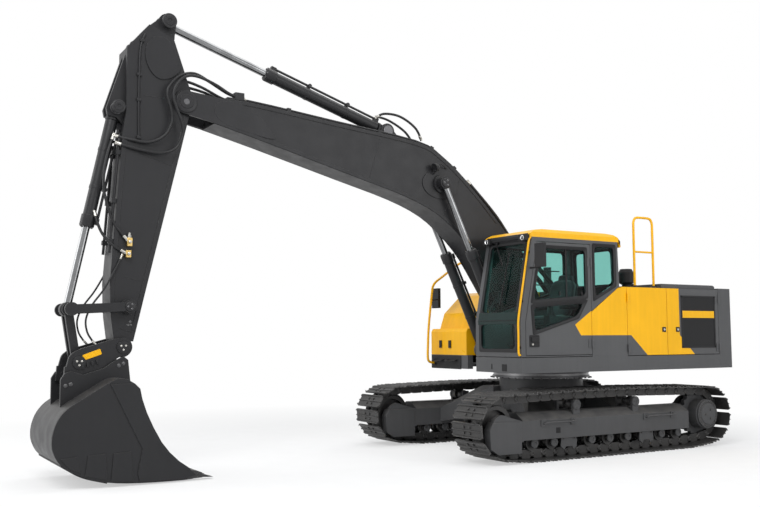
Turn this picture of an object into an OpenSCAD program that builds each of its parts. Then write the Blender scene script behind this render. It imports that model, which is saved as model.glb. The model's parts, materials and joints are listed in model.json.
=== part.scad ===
// Crawler excavator with a one-piece boom, an arm and a bucket on a quick coupler.
// +X points forward along the boom, +Y to the cab side, +Z up.
// The origin lies on the ground under the swing axis. Lengths are in millimetres.

/* [Tracks] */
// Distance between the two track centre lines
track_gauge = 2390; // [2000:10:2600]
// Width of a track shoe
shoe_w = 600; // [450:10:700]
// Distance between the idler axle and the sprocket axle
axle_span = 3660; // [3300:10:3900]
// Pitch radius of the chain on the sprocket and the idler
chain_r = 317; // [290:1:340]
// Number of shoes on each track
link_count = 49; // [43:1:53]
// Chain height from its pins in to the running face
chain_in = 52; // [40:1:60]
// Chain height from its pins out to the shoes
chain_out = 56; // [45:1:65]
// Shoe height from the chain to the tips of the grousers
shoe_h = 27; // [20:1:40]
// Length of the track that lies flat on the ground
ground_run = 2800; // [2500:10:3000]
// Rise of the axles' ends of the track above the ground run
end_rise = 40; // [20:1:60]
// Place of the front top roller
top_roller_front_x = 575; // [400:5:800]
// Place of the rear top roller
top_roller_rear_x = -480; // [-800:5:-300]
// Rise of the chain at the top rollers above its height at the axles
top_rise = 28; // [10:1:40]
// Radius of a bottom roller's tread
roller_r = 78; // [65:1:85]
// Number of bottom rollers on each track
roller_count = 9; // [7:1:9]
// Width of a track frame
track_frame_w = 430; // [380:5:480]

/* [Swing] */
// Outer radius of the swing bearing
bearing_r = 675; // [620:5:720]
// Inner radius of the swing bearing
bearing_bore_r = 540; // [500:5:580]
// Height of the bearing's top face
bearing_top_z = 1060; // [1040:1:1066]

/* [Upper body] */
// Underside of the upper frame's side rails
frame_z = 1075; // [1070:1:1090]
// Top of the side rails
rail_top_z = 1270; // [1240:5:1300]
// Half of the upper body's width
body_half = 1320; // [1280:5:1350]
// Height of the side panels' tops
panel_top_z = 2200; // [2150:5:2250]
// Front face of the counterweight
weight_x = -2240; // [-2300:5:-2200]
// Tail swing radius
tail_r = 2830; // [2780:5:2900]
// Seam between the two left service doors
door_seam_x = -1173; // [-1250:1:-1100]
// Seam between the fixed left panel and the first service door
panel_seam_x = -400; // [-430:1:-390]
// Front face of the right-hand tank
tank_front_x = 1000; // [900:5:1050]
// Thickness of the service doors and side panels
panel_t = 40; // [30:1:45]
// Gap around doors and lids
door_gap = 8; // [6:1:12]

/* [Cab] */
// Front face of the cab
cab_front_x = 1440; // [1400:5:1480]
// Rear face of the cab
cab_rear_x = -300; // [-320:5:-260]
// Right side of the cab
cab_right_y = 385; // [380:1:400]
// Underside of the cab
cab_floor_z = 1278; // [1276:1:1290]
// Top of the cab's frame, under the roof
cab_top_z = 2800; // [2750:5:2830]
// Height where the windscreen starts to lean back
cab_knee_z = 1750; // [1700:5:1800]
// Distance that the windscreen leans back
cab_lean = 205; // [150:5:250]
// Thickness of the cab's walls
cab_wall = 50; // [40:1:55]
// Height of the roof panel
roof_h = 130; // [100:1:140]
// Rear edge of the cab door, at its hinges
door_rear_x = 250; // [230:1:270]
// Width of the cab door
door_w = 1110; // [1080:5:1115]
// Height of the cab door
door_h = 1440; // [1400:5:1445]
// Thickness of the window glass
glass_t = 6; // [4:1:10]

/* [Boom] */
// Boom foot pin, forward of the swing axis
foot_x = 200; // [150:5:250]
// Boom foot pin, above the ground
foot_z = 1850; // [1800:5:1900]
// Boom length between its foot pin and its nose pin
boom_len = 5743; // [5600:5:5800]
// Angle of the boom's pins' line above level
boom_deg = 24.7; // [23:0.1:26]
// Half of the boom's width
boom_half = 205; // [195:1:206]
// Thickness of the boom's side plates
boom_side_t = 12; // [8:1:16]
// Thickness of the boom's top and bottom plates
boom_plate_t = 16; // [12:1:20]
// Radius of the boom's pins
boom_pin_r = 48; // [40:1:52]

/* [Arm] */
// Arm length between its two end pins
arm_len = 2890; // [2850:5:2950]
// Angle of the arm's pins' line below level
arm_deg = 76.6; // [74:0.1:79]
// Half of the arm's width
arm_half = 165; // [155:1:166]
// Thickness of the arm's side plates
arm_side_t = 10; // [8:1:14]
// Thickness of the arm's front and back plates
arm_plate_t = 14; // [10:1:18]
// Radius of the arm's pins
arm_pin_r = 40; // [35:1:44]

/* [Cylinders] */
// Boom cylinders' base pins, forward of the swing axis
lift_base_x = 800; // [780:5:830]
// Boom cylinders' base pins, above the ground
lift_base_z = 1350; // [1330:5:1370]
// Distance of each boom cylinder from the middle plane
lift_y = 295; // [292:1:297]
// Outer radius of the boom cylinders' barrels
lift_r = 70; // [64:1:72]
// Length of the boom cylinders' barrels from the base pins
lift_barrel_len = 1490; // [1400:5:1500]
// Radius of the boom cylinders' rods
lift_rod_r = 43; // [38:1:48]
// Outer radius of the arm cylinder's barrel
crowd_r = 76; // [70:1:82]
// Length of the arm cylinder's barrel from its base pin
crowd_barrel_len = 1800; // [1700:5:1850]
// Radius of the arm cylinder's rod
crowd_rod_r = 47; // [42:1:52]
// Outer radius of the bucket cylinder's barrel
curl_r = 68; // [62:1:74]
// Length of the bucket cylinder's barrel from its base pin
curl_barrel_len = 1370; // [1300:5:1400]
// Radius of the bucket cylinder's rod
curl_rod_r = 42; // [38:1:46]

/* [Bucket] */
// Distance from the arm's tip pin to the tips of the teeth
bucket_reach = 1700; // [1650:5:1702]
// Half of the bucket's width
bucket_half = 575; // [450:5:650]
// Thickness of the bucket's shell
bucket_t = 25; // [16:1:32]
// Number of teeth on the bucket's lip
tooth_count = 5; // [4:1:6]

/* [Hidden] */
$fn = 48;

// Paint and metal colours
charcoal = [0.13, 0.13, 0.14];
grey = [0.30, 0.31, 0.32];
yellow = [0.95, 0.66, 0.08];
steel = [0.75, 0.76, 0.78];
dark_rubber = [0.08, 0.08, 0.08];
glass_tint = [0.35, 0.45, 0.42, 0.45];

// Overrun of every cut, and the clearances of pins and side faces
overrun = 30;
pin_clear = 0.5;
seat_clear = 0.2;
side_clear = 6;

// Points on a curve through a list of points, with a number of steps on each span
function curve_at(a, b, c, d, t) = (2 * b + (c - a) * t + (2 * a - 5 * b + 4 * c - d) * t * t
  + (3 * b - a - 3 * c + d) * t * t * t) / 2;
function curve(pts, steps) = concat(
  [for (i = [0 : len(pts) - 2], k = [0 : steps - 1])
    curve_at(pts[max(i - 1, 0)], pts[i], pts[i + 1], pts[min(i + 2, len(pts) - 1)], k / steps)],
  [pts[len(pts) - 1]]);
function reversed(pts) = [for (i = [len(pts) - 1 : -1 : 0]) pts[i]];
function unit(v) = v / norm(v);
function left_of(v) = [-v[1], v[0]];
// A closed counter-clockwise outline moved inwards by a wall
function inset(pts, wall) = [for (i = [0 : len(pts) - 1])
  let (n = len(pts),
    before = left_of(unit(pts[i] - pts[(i + n - 1) % n])),
    after = left_of(unit(pts[(i + 1) % n] - pts[i])))
  pts[i] + wall * (before + after) / (1 + before * after)];
// An open line moved to its left by a distance
function open_inset(pts, wall) = [for (i = [0 : len(pts) - 1])
  let (before = unit(pts[max(i, 1)] - pts[max(i, 1) - 1]),
    after = unit(pts[min(i + 1, len(pts) - 1)] - pts[min(i, len(pts) - 2)]))
  pts[i] + wall * unit(left_of(before) + left_of(after))];
// Points given as shares of a length, along a line at an angle from a start point
function along(start, deg, length, shares) = [for (s = shares)
  start + length * [s[0] * cos(deg) - s[1] * sin(deg), s[0] * sin(deg) + s[1] * cos(deg)]];
function heading(from, to) = atan2(to[1] - from[1], to[0] - from[0]);

// A side outline, drawn in X and Z, given its width in Y
module slab(y_low, y_high) {
  rotate([90, 0, 0])
    translate([0, 0, -y_high])
      linear_extrude(height = y_high - y_low)
        children();
}

// A round bar along Y at a place in X and Z
module bar_y(at, r, y_low, y_high) {
  translate([at[0], y_low, at[1]])
    rotate([-90, 0, 0])
      cylinder(r = r, h = y_high - y_low);
}

module both_sides() {
  children();
  mirror([0, 1, 0]) children();
}

module block(low, high) {
  translate(low) cube(high - low);
}

// A round bar between two points
module bar(from, to, r) {
  v = to - from;
  translate(from)
    rotate([0, acos(v[2] / norm(v)), atan2(v[1], v[0])])
      cylinder(r = r, h = norm(v));
}

// A bent pipe or rail through a list of points, with full corners
corner_share = 1.06;
module bent_pipe(pts, r) {
  for (i = [0 : len(pts) - 2]) bar(pts[i], pts[i + 1], r);
  for (i = [1 : len(pts) - 2]) translate(pts[i]) sphere(r = r * corner_share);
}

// Track loop: key points of the pitch line
track_y = track_gauge / 2;
axle_x = axle_span / 2;
shoe_tip = chain_out + shoe_h;
axle_z = chain_r + shoe_tip + end_rise;
run_z = shoe_tip;
run_x = ground_run / 2;
top_z = axle_z + chain_r + top_rise;

// Angle at which a line from a point touches a circle, on the side given by turn
function touch_deg(centre, point, turn) = heading(centre, point)
  + turn * acos(chain_r / norm(point - centre));
idler = [axle_x, axle_z];
sprocket = [-axle_x, axle_z];
idler_low_deg = touch_deg(idler, [run_x, run_z], 1);
idler_high_deg = touch_deg(idler, [top_roller_front_x, top_z], -1);
sprocket_high_deg = touch_deg(sprocket, [top_roller_rear_x, top_z], 1);
sprocket_low_deg = 360 + touch_deg(sprocket, [-run_x, run_z], -1);
arc_steps = 24;
function arc(centre, r, from, to, steps) = [for (k = [0 : steps])
  centre + r * [cos(from + (to - from) * k / steps), sin(from + (to - from) * k / steps)]];
loop_pts = concat(
  [[-run_x, run_z], [run_x, run_z]],
  arc(idler, chain_r, idler_low_deg, idler_high_deg, arc_steps),
  [[top_roller_front_x, top_z], [top_roller_rear_x, top_z]],
  arc(sprocket, chain_r, sprocket_high_deg, sprocket_low_deg, arc_steps),
  [[-run_x, run_z]]);
// Distance along the loop at each of its points
function run_lengths(i, sum) = i == len(loop_pts) - 1 ? [sum]
  : concat([sum], run_lengths(i + 1, sum + norm(loop_pts[i + 1] - loop_pts[i])));
loop_len = run_lengths(0, 0);
loop_total = loop_len[len(loop_len) - 1];
x_table = [for (i = [0 : len(loop_pts) - 1]) [loop_len[i], loop_pts[i][0]]];
z_table = [for (i = [0 : len(loop_pts) - 1]) [loop_len[i], loop_pts[i][1]]];
function loop_at(share) = let (s = (share - floor(share)) * loop_total)
  [lookup(s, x_table), lookup(s, z_table)];
chain_pins = [for (i = [0 : link_count - 1]) loop_at(i / link_count)];
function pin_at(i) = chain_pins[(i + link_count) % link_count];
function out_of(i) = -left_of(unit(pin_at(i + 1) - pin_at(i)));
// Chain pin moved out of the loop by a distance, along the mean of its two links
function pin_out(i, d) = let (a = out_of(i - 1), b = out_of(i)) pin_at(i) + d * (a + b) / (1 + a * b);
// Shoe outline: share along the link, share of the shoe's height
shoe_shares = [[0, 0.15], [0.05, 1], [0.11, 1], [0.18, 0.4], [0.43, 0.4], [0.5, 0.95], [0.57, 0.4],
  [0.82, 0.4], [0.89, 1], [0.95, 1]];
shoe_inner = [for (i = [0 : link_count - 1]) pin_out(i, chain_out)];
shoe_outer = [for (i = [0 : link_count - 1], s = shoe_shares)
  let (from = pin_out(i, chain_out + s[1] * shoe_h), to = pin_out(i + 1, chain_out + s[1] * shoe_h))
  from + (to - from) * s[0]];
chain_inner = [for (i = [0 : link_count - 1]) pin_out(i, -chain_in)];
// Chain rails, measured from the track's centre line
rail_near = 38;
rail_far = 82;

module track_loop(y) {
  color(dark_rubber)
    slab(y - shoe_w / 2, y + shoe_w / 2)
      difference() {
        polygon(shoe_outer);
        polygon(shoe_inner);
      }
}

module track_shoes_left() {
  track_loop(track_y);
}

module track_shoes_right() {
  track_loop(-track_y);
}

module track_chains() {
  color(charcoal)
    both_sides()
      for (low = [track_y - rail_far, track_y + rail_near])
        slab(low, low + rail_far - rail_near)
          difference() {
            polygon(shoe_inner);
            polygon(chain_inner);
          }
}

// Wheels and rollers run on the chain rails with a small clearance
tread_clear = 1;
sprocket_teeth = 21;
tooth_h = 26;
sprocket_t = 60;
sprocket_root_r = chain_r - tooth_h;
drive_r = 205;
drive_cap_r = 150;
drive_cap_h = 30;
// Side faces of the track frame's walls, measured from the track's centre line
frame_half = track_frame_w / 2;
wall_t = 60;
wall_in = frame_half - wall_t;
fork_in = wall_in;
tooth_tip_share = 0.3;
tooth_root_share = 0.7;
module drive_sprocket(y) {
  step = 360 / sprocket_teeth;
  translate([sprocket[0], y, sprocket[1]]) {
    rotate([90, 0, 0])
      linear_extrude(height = sprocket_t, center = true)
        polygon([for (i = [0 : sprocket_teeth - 1],
            s = [[0, 1], [tooth_tip_share, 1], [(1 - tooth_tip_share), 0], [1, 0]])
          (sprocket_root_r + s[1] * tooth_h)
            * [cos((i + s[0] * tooth_root_share) * step),
              sin((i + s[0] * tooth_root_share) * step)]]);
    translate([0, -wall_in, 0])
      rotate([-90, 0, 0])
        cylinder(r = drive_r, h = wall_in + frame_half - drive_cap_h);
    translate([0, frame_half - drive_cap_h, 0])
      rotate([-90, 0, 0])
        cylinder(r1 = drive_r, r2 = drive_cap_r, h = drive_cap_h);
  }
}

module drive_sprockets() {
  color(charcoal) both_sides() drive_sprocket(track_y);
}

// Idler: a rim between the chain rails' treads, with a web and a hub
link_pitch = loop_total / link_count;
idler_rim_r = sqrt(pow(chain_r, 2) - pow(link_pitch / 2, 2)) - chain_in - tread_clear;
idler_flange_r = chain_r - chain_in / 2;
idler_hub_r = 90;
idler_rim_t = 45;
idler_web_half = 22;
module front_idlers() {
  color(charcoal)
    both_sides()
      translate([idler[0], track_y, idler[1]])
        rotate([90, 0, 0])
          rotate_extrude()
            polygon([[0, -fork_in], [idler_hub_r, -fork_in], [idler_hub_r, -idler_web_half],
              [idler_rim_r - idler_rim_t, -idler_web_half],
              [idler_rim_r - idler_rim_t, -rail_far], [idler_rim_r, -rail_far],
              [idler_rim_r, -rail_near + side_clear], [idler_flange_r, -idler_web_half],
              [idler_flange_r, idler_web_half], [idler_rim_r, rail_near - side_clear],
              [idler_rim_r, rail_far], [idler_rim_r - idler_rim_t, rail_far],
              [idler_rim_r - idler_rim_t, idler_web_half], [idler_hub_r, idler_web_half],
              [idler_hub_r, fork_in], [0, fork_in]]);
}

// A roller with treads under both rails, outer flanges and a shaft
module roller(at, tread_r, flange_r, shaft_r, half_len) {
  translate([at[0], track_y, at[1]])
    rotate([90, 0, 0])
      rotate_extrude()
        polygon([[0, -half_len], [shaft_r, -half_len], [shaft_r, -rail_far - roller_lip],
          [flange_r, -rail_far - roller_lip], [flange_r, -rail_far - side_clear],
          [tread_r, -rail_far], [tread_r, -rail_near], [shaft_r, -rail_near + side_clear],
          [shaft_r, rail_near - side_clear], [tread_r, rail_near], [tread_r, rail_far],
          [flange_r, rail_far + side_clear], [flange_r, rail_far + roller_lip],
          [shaft_r, rail_far + roller_lip], [shaft_r, half_len], [0, half_len]]);
}

roller_lip = 28;
roller_flange_extra = 16;
roller_flange_r = roller_r + roller_flange_extra;
roller_shaft_r = 45;
roller_z = run_z + chain_in + tread_clear + roller_r;
roller_span = ground_run - 3 * roller_r;
module bottom_rollers() {
  color(charcoal)
    both_sides()
      for (i = [0 : roller_count - 1])
        roller([(i / (roller_count - 1) - 1 / 2) * roller_span, roller_z],
          roller_r, roller_flange_r, roller_shaft_r, wall_in);
}

// Top rollers stand on posts of the track frame
top_roller_r = 66;
top_shaft_r = 30;
top_roller_z = top_z - chain_in - tread_clear - top_roller_r;
post_t = 40;
post_w = 110;
post_in = rail_far + roller_lip + side_clear;
module top_rollers() {
  color(charcoal)
    both_sides()
      for (x = [top_roller_front_x, top_roller_rear_x])
        roller([x, top_roller_z], top_roller_r, top_roller_r, top_shaft_r, post_in);
}

// Track frame: a beam with a sloping top and two walls that hold the rollers
beam_low_z = 266;
beam_side_z = 500;
beam_top_z = 590;
beam_ridge = 70;
channel_z = roller_z + roller_flange_r + side_clear;
beam_front_x = 1500;
beam_rear_x = -1440;
fork_r = 150;
guard_low_z = 250;
drive_plate_r = 250;
module track_frame() {
  translate([0, track_y, 0]) {
    translate([beam_rear_x, 0, 0])
      rotate([90, 0, 90])
        linear_extrude(height = beam_front_x - beam_rear_x)
          polygon([[-frame_half, beam_low_z], [-wall_in, beam_low_z], [-wall_in, channel_z],
            [wall_in, channel_z], [wall_in, beam_low_z], [frame_half, beam_low_z],
            [frame_half, beam_side_z], [beam_ridge, beam_top_z], [-beam_ridge, beam_top_z],
            [-frame_half, beam_side_z]]);
    // Fork that carries the idler
    for (side = [-1, 1])
      slab(side * (wall_in + wall_t / 2) - wall_t / 2, side * (wall_in + wall_t / 2) + wall_t / 2) {
        polygon([[beam_front_x, guard_low_z], [axle_x, axle_z - fork_r],
          [axle_x, axle_z + fork_r], [beam_front_x, beam_side_z]]);
        translate(idler) circle(r = fork_r);
      }
    // Plate that carries the drive
    slab(-frame_half, -wall_in) {
      polygon([[beam_rear_x, beam_low_z], [beam_rear_x, beam_side_z],
        [-axle_x, axle_z + drive_plate_r], [-axle_x, axle_z - drive_plate_r]]);
      translate(sprocket) circle(r = drive_plate_r);
    }
    // Posts of the top rollers
    for (x = [top_roller_front_x, top_roller_rear_x], side = [-1, 1])
      block([x - post_w / 2, side > 0 ? post_in : -post_in - post_t, beam_side_z],
        [x + post_w / 2, side > 0 ? post_in + post_t : -post_in, top_roller_z + post_w / 2]);
  }
}

module track_frames() {
  color(charcoal) both_sides() track_frame();
}

// Centre frame: a drum under the swing bearing, four legs and two towing eyes
clearance_z = 460;
drum_r = 590;
drum_top_z = 955;
leg_low_z = 300;
leg_foot_x = 820;
leg_foot_len = 520;
leg_root_x = 330;
leg_root_y = 260;
leg_root_len = 330;
leg_root_z = 830;
frame_in_y = track_y - frame_half;
body_len_half = 620;
body_w_half = 520;
body_top_z = 720;
tow_t = 60;
tow_r = 85;
tow_hole_r = 36;
tow_root = 30;
tow_x = body_len_half + tow_r - tow_root;
leg_tip = 2;
module centre_leg() {
  hull() {
    block([leg_root_x, leg_root_y, clearance_z],
      [leg_root_x + leg_root_len, leg_root_y + leg_root_y, leg_root_z]);
    block([leg_foot_x - leg_foot_len / 2, frame_in_y - leg_tip, leg_low_z],
      [leg_foot_x + leg_foot_len / 2, frame_in_y, beam_side_z]);
  }
}

module centre_frame() {
  color(charcoal)
    difference() {
      union() {
        translate([0, 0, clearance_z])
          cylinder(r = drum_r, h = drum_top_z - clearance_z);
        block([-body_len_half, -body_w_half, clearance_z], [body_len_half, body_w_half, body_top_z]);
        for (side = [0, 1], end = [0, 1])
          mirror([0, side, 0]) mirror([end, 0, 0]) centre_leg();
        for (x = [-tow_x, tow_x]) {
          translate([x, 0, clearance_z]) cylinder(r = tow_r, h = tow_t);
          block([min(x, 0), -tow_r, clearance_z], [max(x, 0), tow_r, clearance_z + tow_t]);
        }
      }
      for (x = [-tow_x, tow_x])
        translate([x, 0, clearance_z - overrun])
          cylinder(r = tow_hole_r, h = tow_t + 2 * overrun);
      translate([0, 0, clearance_z - overrun])
        cylinder(r = drum_bore_r, h = drum_top_z - clearance_z + 2 * overrun);
    }
}
drum_bore_r = 240;

module swing_bearing() {
  color(charcoal)
    translate([0, 0, drum_top_z])
      difference() {
        union() {
          cylinder(r = bearing_r - race_step, h = bearing_top_z - drum_top_z);
          translate([0, 0, race_step])
            cylinder(r = bearing_r, h = bearing_top_z - drum_top_z - 2 * race_step);
        }
        translate([0, 0, -overrun])
          cylinder(r = bearing_bore_r, h = bearing_top_z - drum_top_z + 2 * overrun);
      }
}
race_step = 24;

// Main frame: floor plate, side rails, boom bracket plates and cab mounts
deck_z = 1140;
deck_t = 25;
deck_top_z = deck_z + deck_t;
rail_w = 90;
bracket_t = 38;
bracket_in = boom_half + side_clear;
bracket_out = bracket_in + bracket_t;
foot_boss_r = 150;
ear_r = 105;
lift_eye_half = 40;
lift_ear_in = lift_y + lift_eye_half + side_clear;
lift_ear_out = cab_right_y - side_clear;
ring_r = bearing_r - race_step;
ring_low_z = bearing_top_z + side_clear;
deck_mid_x = 450;
deck_inner_y = 400;
girder_z = 1400;
girder_rise_x = -420;
bracket_neck = 125;
mount_r = 60;
mount_inset = 160;
foot_pin = [foot_x, foot_z];
lift_base = [lift_base_x, lift_base_z];
module bracket_outline() {
  polygon([[weight_x, deck_z], [lift_base_x, deck_z], [lift_base_x + ear_r, lift_base_z],
    [lift_base_x - bracket_neck, lift_base_z + ear_r], [foot_x + foot_boss_r, foot_z],
    [foot_x - foot_boss_r, foot_z], [girder_rise_x, girder_z], [engine_rear_x, girder_z],
    [weight_x, rail_top_z]]);
  translate(foot_pin) circle(r = foot_boss_r);
  translate(lift_base) circle(r = ear_r);
}

module main_frame() {
  color(grey)
    difference() {
      union() {
        // Floor plate
        translate([0, 0, deck_z])
          linear_extrude(height = deck_t)
            polygon([[weight_x, -body_half], [tank_front_x, -body_half],
              [tank_front_x, -deck_inner_y], [deck_mid_x, -deck_inner_y],
              [deck_mid_x, cab_right_y], [cab_front_x, cab_right_y],
              [cab_front_x, body_half], [weight_x, body_half]]);
        // Side rails and front rails
        block([weight_x, body_half - rail_w, frame_z], [cab_front_x, body_half, rail_top_z]);
        block([weight_x, -body_half, frame_z], [tank_front_x, -body_half + rail_w, rail_top_z]);
        block([cab_front_x - rail_w, cab_right_y, frame_z], [cab_front_x, body_half, rail_top_z]);
        block([tank_front_x - rail_w, -body_half, frame_z],
          [tank_front_x, -deck_inner_y, rail_top_z]);
        // Boom brackets and the outer ears of the boom cylinders
        both_sides() slab(bracket_in, bracket_out) bracket_outline();
        both_sides()
          slab(lift_ear_in, lift_ear_out) {
            polygon([[deck_mid_x - ear_r, deck_z], [lift_base_x, deck_z],
              [lift_base_x + ear_r, lift_base_z], [lift_base_x, lift_base_z + ear_r],
              [deck_mid_x - ear_r, rail_top_z]]);
            translate(lift_base) circle(r = ear_r);
          }
        // Cab mounts
        for (x = [cab_rear_x + mount_inset, cab_front_x - mount_inset],
          y = [cab_right_y + mount_inset, body_half - mount_inset])
          translate([x, y, deck_z]) cylinder(r = mount_r, h = cab_floor_z - deck_z);
        // Ring that turns on the swing bearing
        translate([0, 0, ring_low_z]) cylinder(r = ring_r, h = deck_z - ring_low_z);
      }
      bar_y(foot_pin, boom_pin_r, -body_half, body_half);
      bar_y(lift_base, boom_pin_r, -body_half, body_half);
      translate([0, 0, ring_low_z - overrun])
        cylinder(r = drum_bore_r, h = deck_top_z - ring_low_z + 2 * overrun);
    }
}

// Pins of the boom foot and of the boom cylinders' bases, with round caps
cap_t = 14;
cap_extra = 22;
cap_r = boom_pin_r + cap_extra;
module frame_pins() {
  color(charcoal) {
    bar_y(foot_pin, boom_pin_r, -bracket_out - cap_t, bracket_out + cap_t);
    both_sides() {
      bar_y(foot_pin, cap_r, bracket_out, bracket_out + cap_t);
      bar_y(lift_base, boom_pin_r, bracket_in, lift_ear_out);
    }
  }
}

// Counterweight: the tail's round back with sloping upper and lower edges
weight_shares = [[0, 0], [0.5, 0], [0.85, 0.05], [1, 0.2], [1, 0.72], [0.9, 0.9], [0.62, 1], [0, 1]];
weight_rise = 20;
weight_top_z = panel_top_z + weight_rise;
weight_depth = tail_r + weight_x;
module counterweight() {
  color(grey)
    intersection() {
      slab(-body_half, body_half)
        polygon(reversed([for (s = weight_shares)
          [weight_x - s[0] * weight_depth, frame_z + s[1] * (weight_top_z - frame_z)]]));
      translate([0, 0, frame_z - overrun])
        cylinder(r = tail_r, h = weight_top_z - frame_z + 2 * overrun, $fn = 96);
    }
}

// Engine: one plain block on the girders behind the middle wall
engine_rear_x = -2080;
engine_front_x = -1260;
engine_right_y = -620;
engine_left_y = 480;
engine_top_z = 1960;
module engine_block() {
  color(steel)
    block([engine_rear_x, engine_right_y, girder_z], [engine_front_x, engine_left_y, engine_top_z]);
}

// Body frame: walls, posts and the top deck that carry the panels and lids
skin_in = body_half - panel_t;
wall_plate_t = 20;
cab_back_gap = 45;
cab_wall_x = cab_rear_x - cab_back_gap;
deck_plate_t = 40;
post_half = 38;
hood_front_x = -1105;
lip_w = 50;
module body_frame() {
  color(charcoal) {
    // Wall behind the cab and middle wall, cut for the girders and the side rails, and top deck
    difference() {
      for (x = [cab_wall_x, hood_front_x])
        block([x - wall_plate_t, -skin_in + door_gap, deck_top_z],
          [x, skin_in - door_gap, panel_top_z - deck_plate_t]);
      both_sides() {
        slab(bracket_in - seat_clear, bracket_out + seat_clear) bracket_outline();
        block([weight_x, body_half - rail_w - seat_clear, frame_z], [cab_front_x, body_half, rail_top_z]);
      }
    }
    block([hood_front_x - wall_plate_t, -skin_in + door_gap, panel_top_z - deck_plate_t],
      [cab_wall_x, skin_in - door_gap, panel_top_z]);
    // Posts behind the door seams and rails along the lid
    both_sides() {
      block([door_seam_x - post_half, skin_in - door_gap - lip_w, rail_top_z],
        [door_seam_x + post_half, skin_in - door_gap, panel_top_z - deck_plate_t]);
      block([weight_x, skin_in - door_gap - lip_w, panel_top_z - 2 * deck_plate_t],
        [hood_front_x, skin_in - door_gap, panel_top_z - deck_plate_t / 2]);
      block([weight_x, skin_in - door_gap - lip_w, rail_top_z],
        [weight_x + lip_w, skin_in - door_gap, panel_top_z - deck_plate_t]);
      // Strip that the fixed panels stand against
      block([cab_wall_x - wall_plate_t, skin_in - door_gap, rail_top_z],
        [cab_wall_x, skin_in, panel_top_z - deck_plate_t]);
    }
  }
}

// Fixed left panel under the cab's quarter window: a sloping top edge
quarter_low_z = 1862;
cab_back_lean = 50;
quarter_rear_x = cab_rear_x + cab_back_lean;
function left_panel_outline() = [[panel_seam_x, rail_top_z], [door_rear_x - door_gap, rail_top_z],
  [door_rear_x - door_gap, quarter_low_z - side_clear],
  [quarter_rear_x, panel_top_z - door_gap - side_clear],
  [cab_rear_x - side_clear, panel_top_z - door_gap - side_clear],
  [cab_rear_x - side_clear, panel_top_z], [panel_seam_x, panel_top_z]];
left_panel_t = 30;
module left_side_panel() {
  color(yellow)
    difference() {
      slab(skin_in, body_half) polygon(left_panel_outline());
      block([cab_rear_x - door_gap, skin_in - overrun, rail_top_z - overrun],
        [door_rear_x + overrun, body_half - left_panel_t + seat_clear, panel_top_z + overrun]);
    }
}

// Right-hand tank: a low step in front and a sloping face up to the deck
tank_rear_x = cab_wall_x;
tank_inner_y = -430;
tank_len = tank_front_x - tank_rear_x;
tank_h = panel_top_z - rail_top_z;
tank_step_share = 0.41;
tank_shares = [[0, 0], [1, 0], [1, 0.36], [0.98, tank_step_share], [0.88, tank_step_share], [0.82, 0.66],
  [0.6, 0.95], [0.5, 1], [0, 1]];
tank_wall = 8;
module right_tank() {
  outline = [for (s = tank_shares) [tank_rear_x + s[0] * tank_len, rail_top_z + s[1] * tank_h]];
  color(yellow)
    difference() {
      slab(-body_half, tank_inner_y) polygon(outline);
      slab(-body_half + tank_wall, tank_inner_y - tank_wall) polygon(inset(outline, tank_wall));
    }
}

module right_side_panel() {
  color(yellow)
    block([door_seam_x + door_gap / 2, -body_half, rail_top_z],
      [tank_rear_x, -skin_in, panel_top_z]);
}

// Handrails on the left deck and on the right-hand tank
hand_r = 17;
hand_inset = 110;
hand_y = body_half - hand_inset;
hand_front_x = -680;
hand_rear_x = -1046;
hand_top_z = 3180;
hand_mid_z = 2700;
tank_rail_inset = 120;
tank_rail_y = -body_half + tank_rail_inset;
tank_rail_share = 0.94;
tank_rail_x = tank_rear_x + tank_rail_share * tank_len;
tank_rail_top_z = 2670;
tank_rail_knee_z = 2300;
module handrails() {
  color(yellow) {
    bent_pipe([[hand_front_x, hand_y, panel_top_z], [hand_front_x, hand_y, hand_top_z],
      [hand_rear_x, hand_y, hand_top_z], [hand_rear_x, hand_y, panel_top_z]], hand_r);
    bar([hand_front_x, hand_y, hand_mid_z], [hand_rear_x, hand_y, hand_mid_z], hand_r);
    bent_pipe([[tank_rail_x, tank_rail_y, rail_top_z + tank_step_share * tank_h],
      [tank_rail_x, tank_rail_y, tank_rail_knee_z],
      [tank_front_x / 2, tank_rail_y, tank_rail_top_z],
      [0, tank_rail_y, tank_rail_top_z], [0, tank_rail_y, panel_top_z]], hand_r);
  }
}

// Air pre-cleaner on the left of the deck, exhaust on the right
cleaner_x = -720;
cleaner_inset = 310;
cleaner_at = [cleaner_x, body_half - cleaner_inset, panel_top_z];
cleaner_r = 105;
cleaner_neck_r = 60;
cleaner_neck_h = 50;
cleaner_h = 270;
module pre_cleaner() {
  color(dark_rubber)
    translate(cleaner_at)
      rotate_extrude()
        polygon([[0, 0], [cleaner_neck_r, 0], [cleaner_neck_r, cleaner_neck_h],
          [cleaner_r, cleaner_neck_h + cleaner_neck_r / 2], [cleaner_r, cleaner_h - cleaner_neck_h],
          [cleaner_r - cleaner_neck_h / 2, cleaner_h], [0, cleaner_h]]);
}

exhaust_x = -900;
exhaust_inset = 420;
exhaust_at = [exhaust_x, -body_half + exhaust_inset, panel_top_z];
exhaust_r = 62;
exhaust_wall = 5;
exhaust_h = 420;
module exhaust_stack() {
  color(dark_rubber)
    translate(exhaust_at)
      difference() {
        cylinder(r = exhaust_r, h = exhaust_h);
        translate([0, 0, exhaust_h / 2])
          cylinder(r = exhaust_r - exhaust_wall, h = exhaust_h);
      }
}

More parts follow.
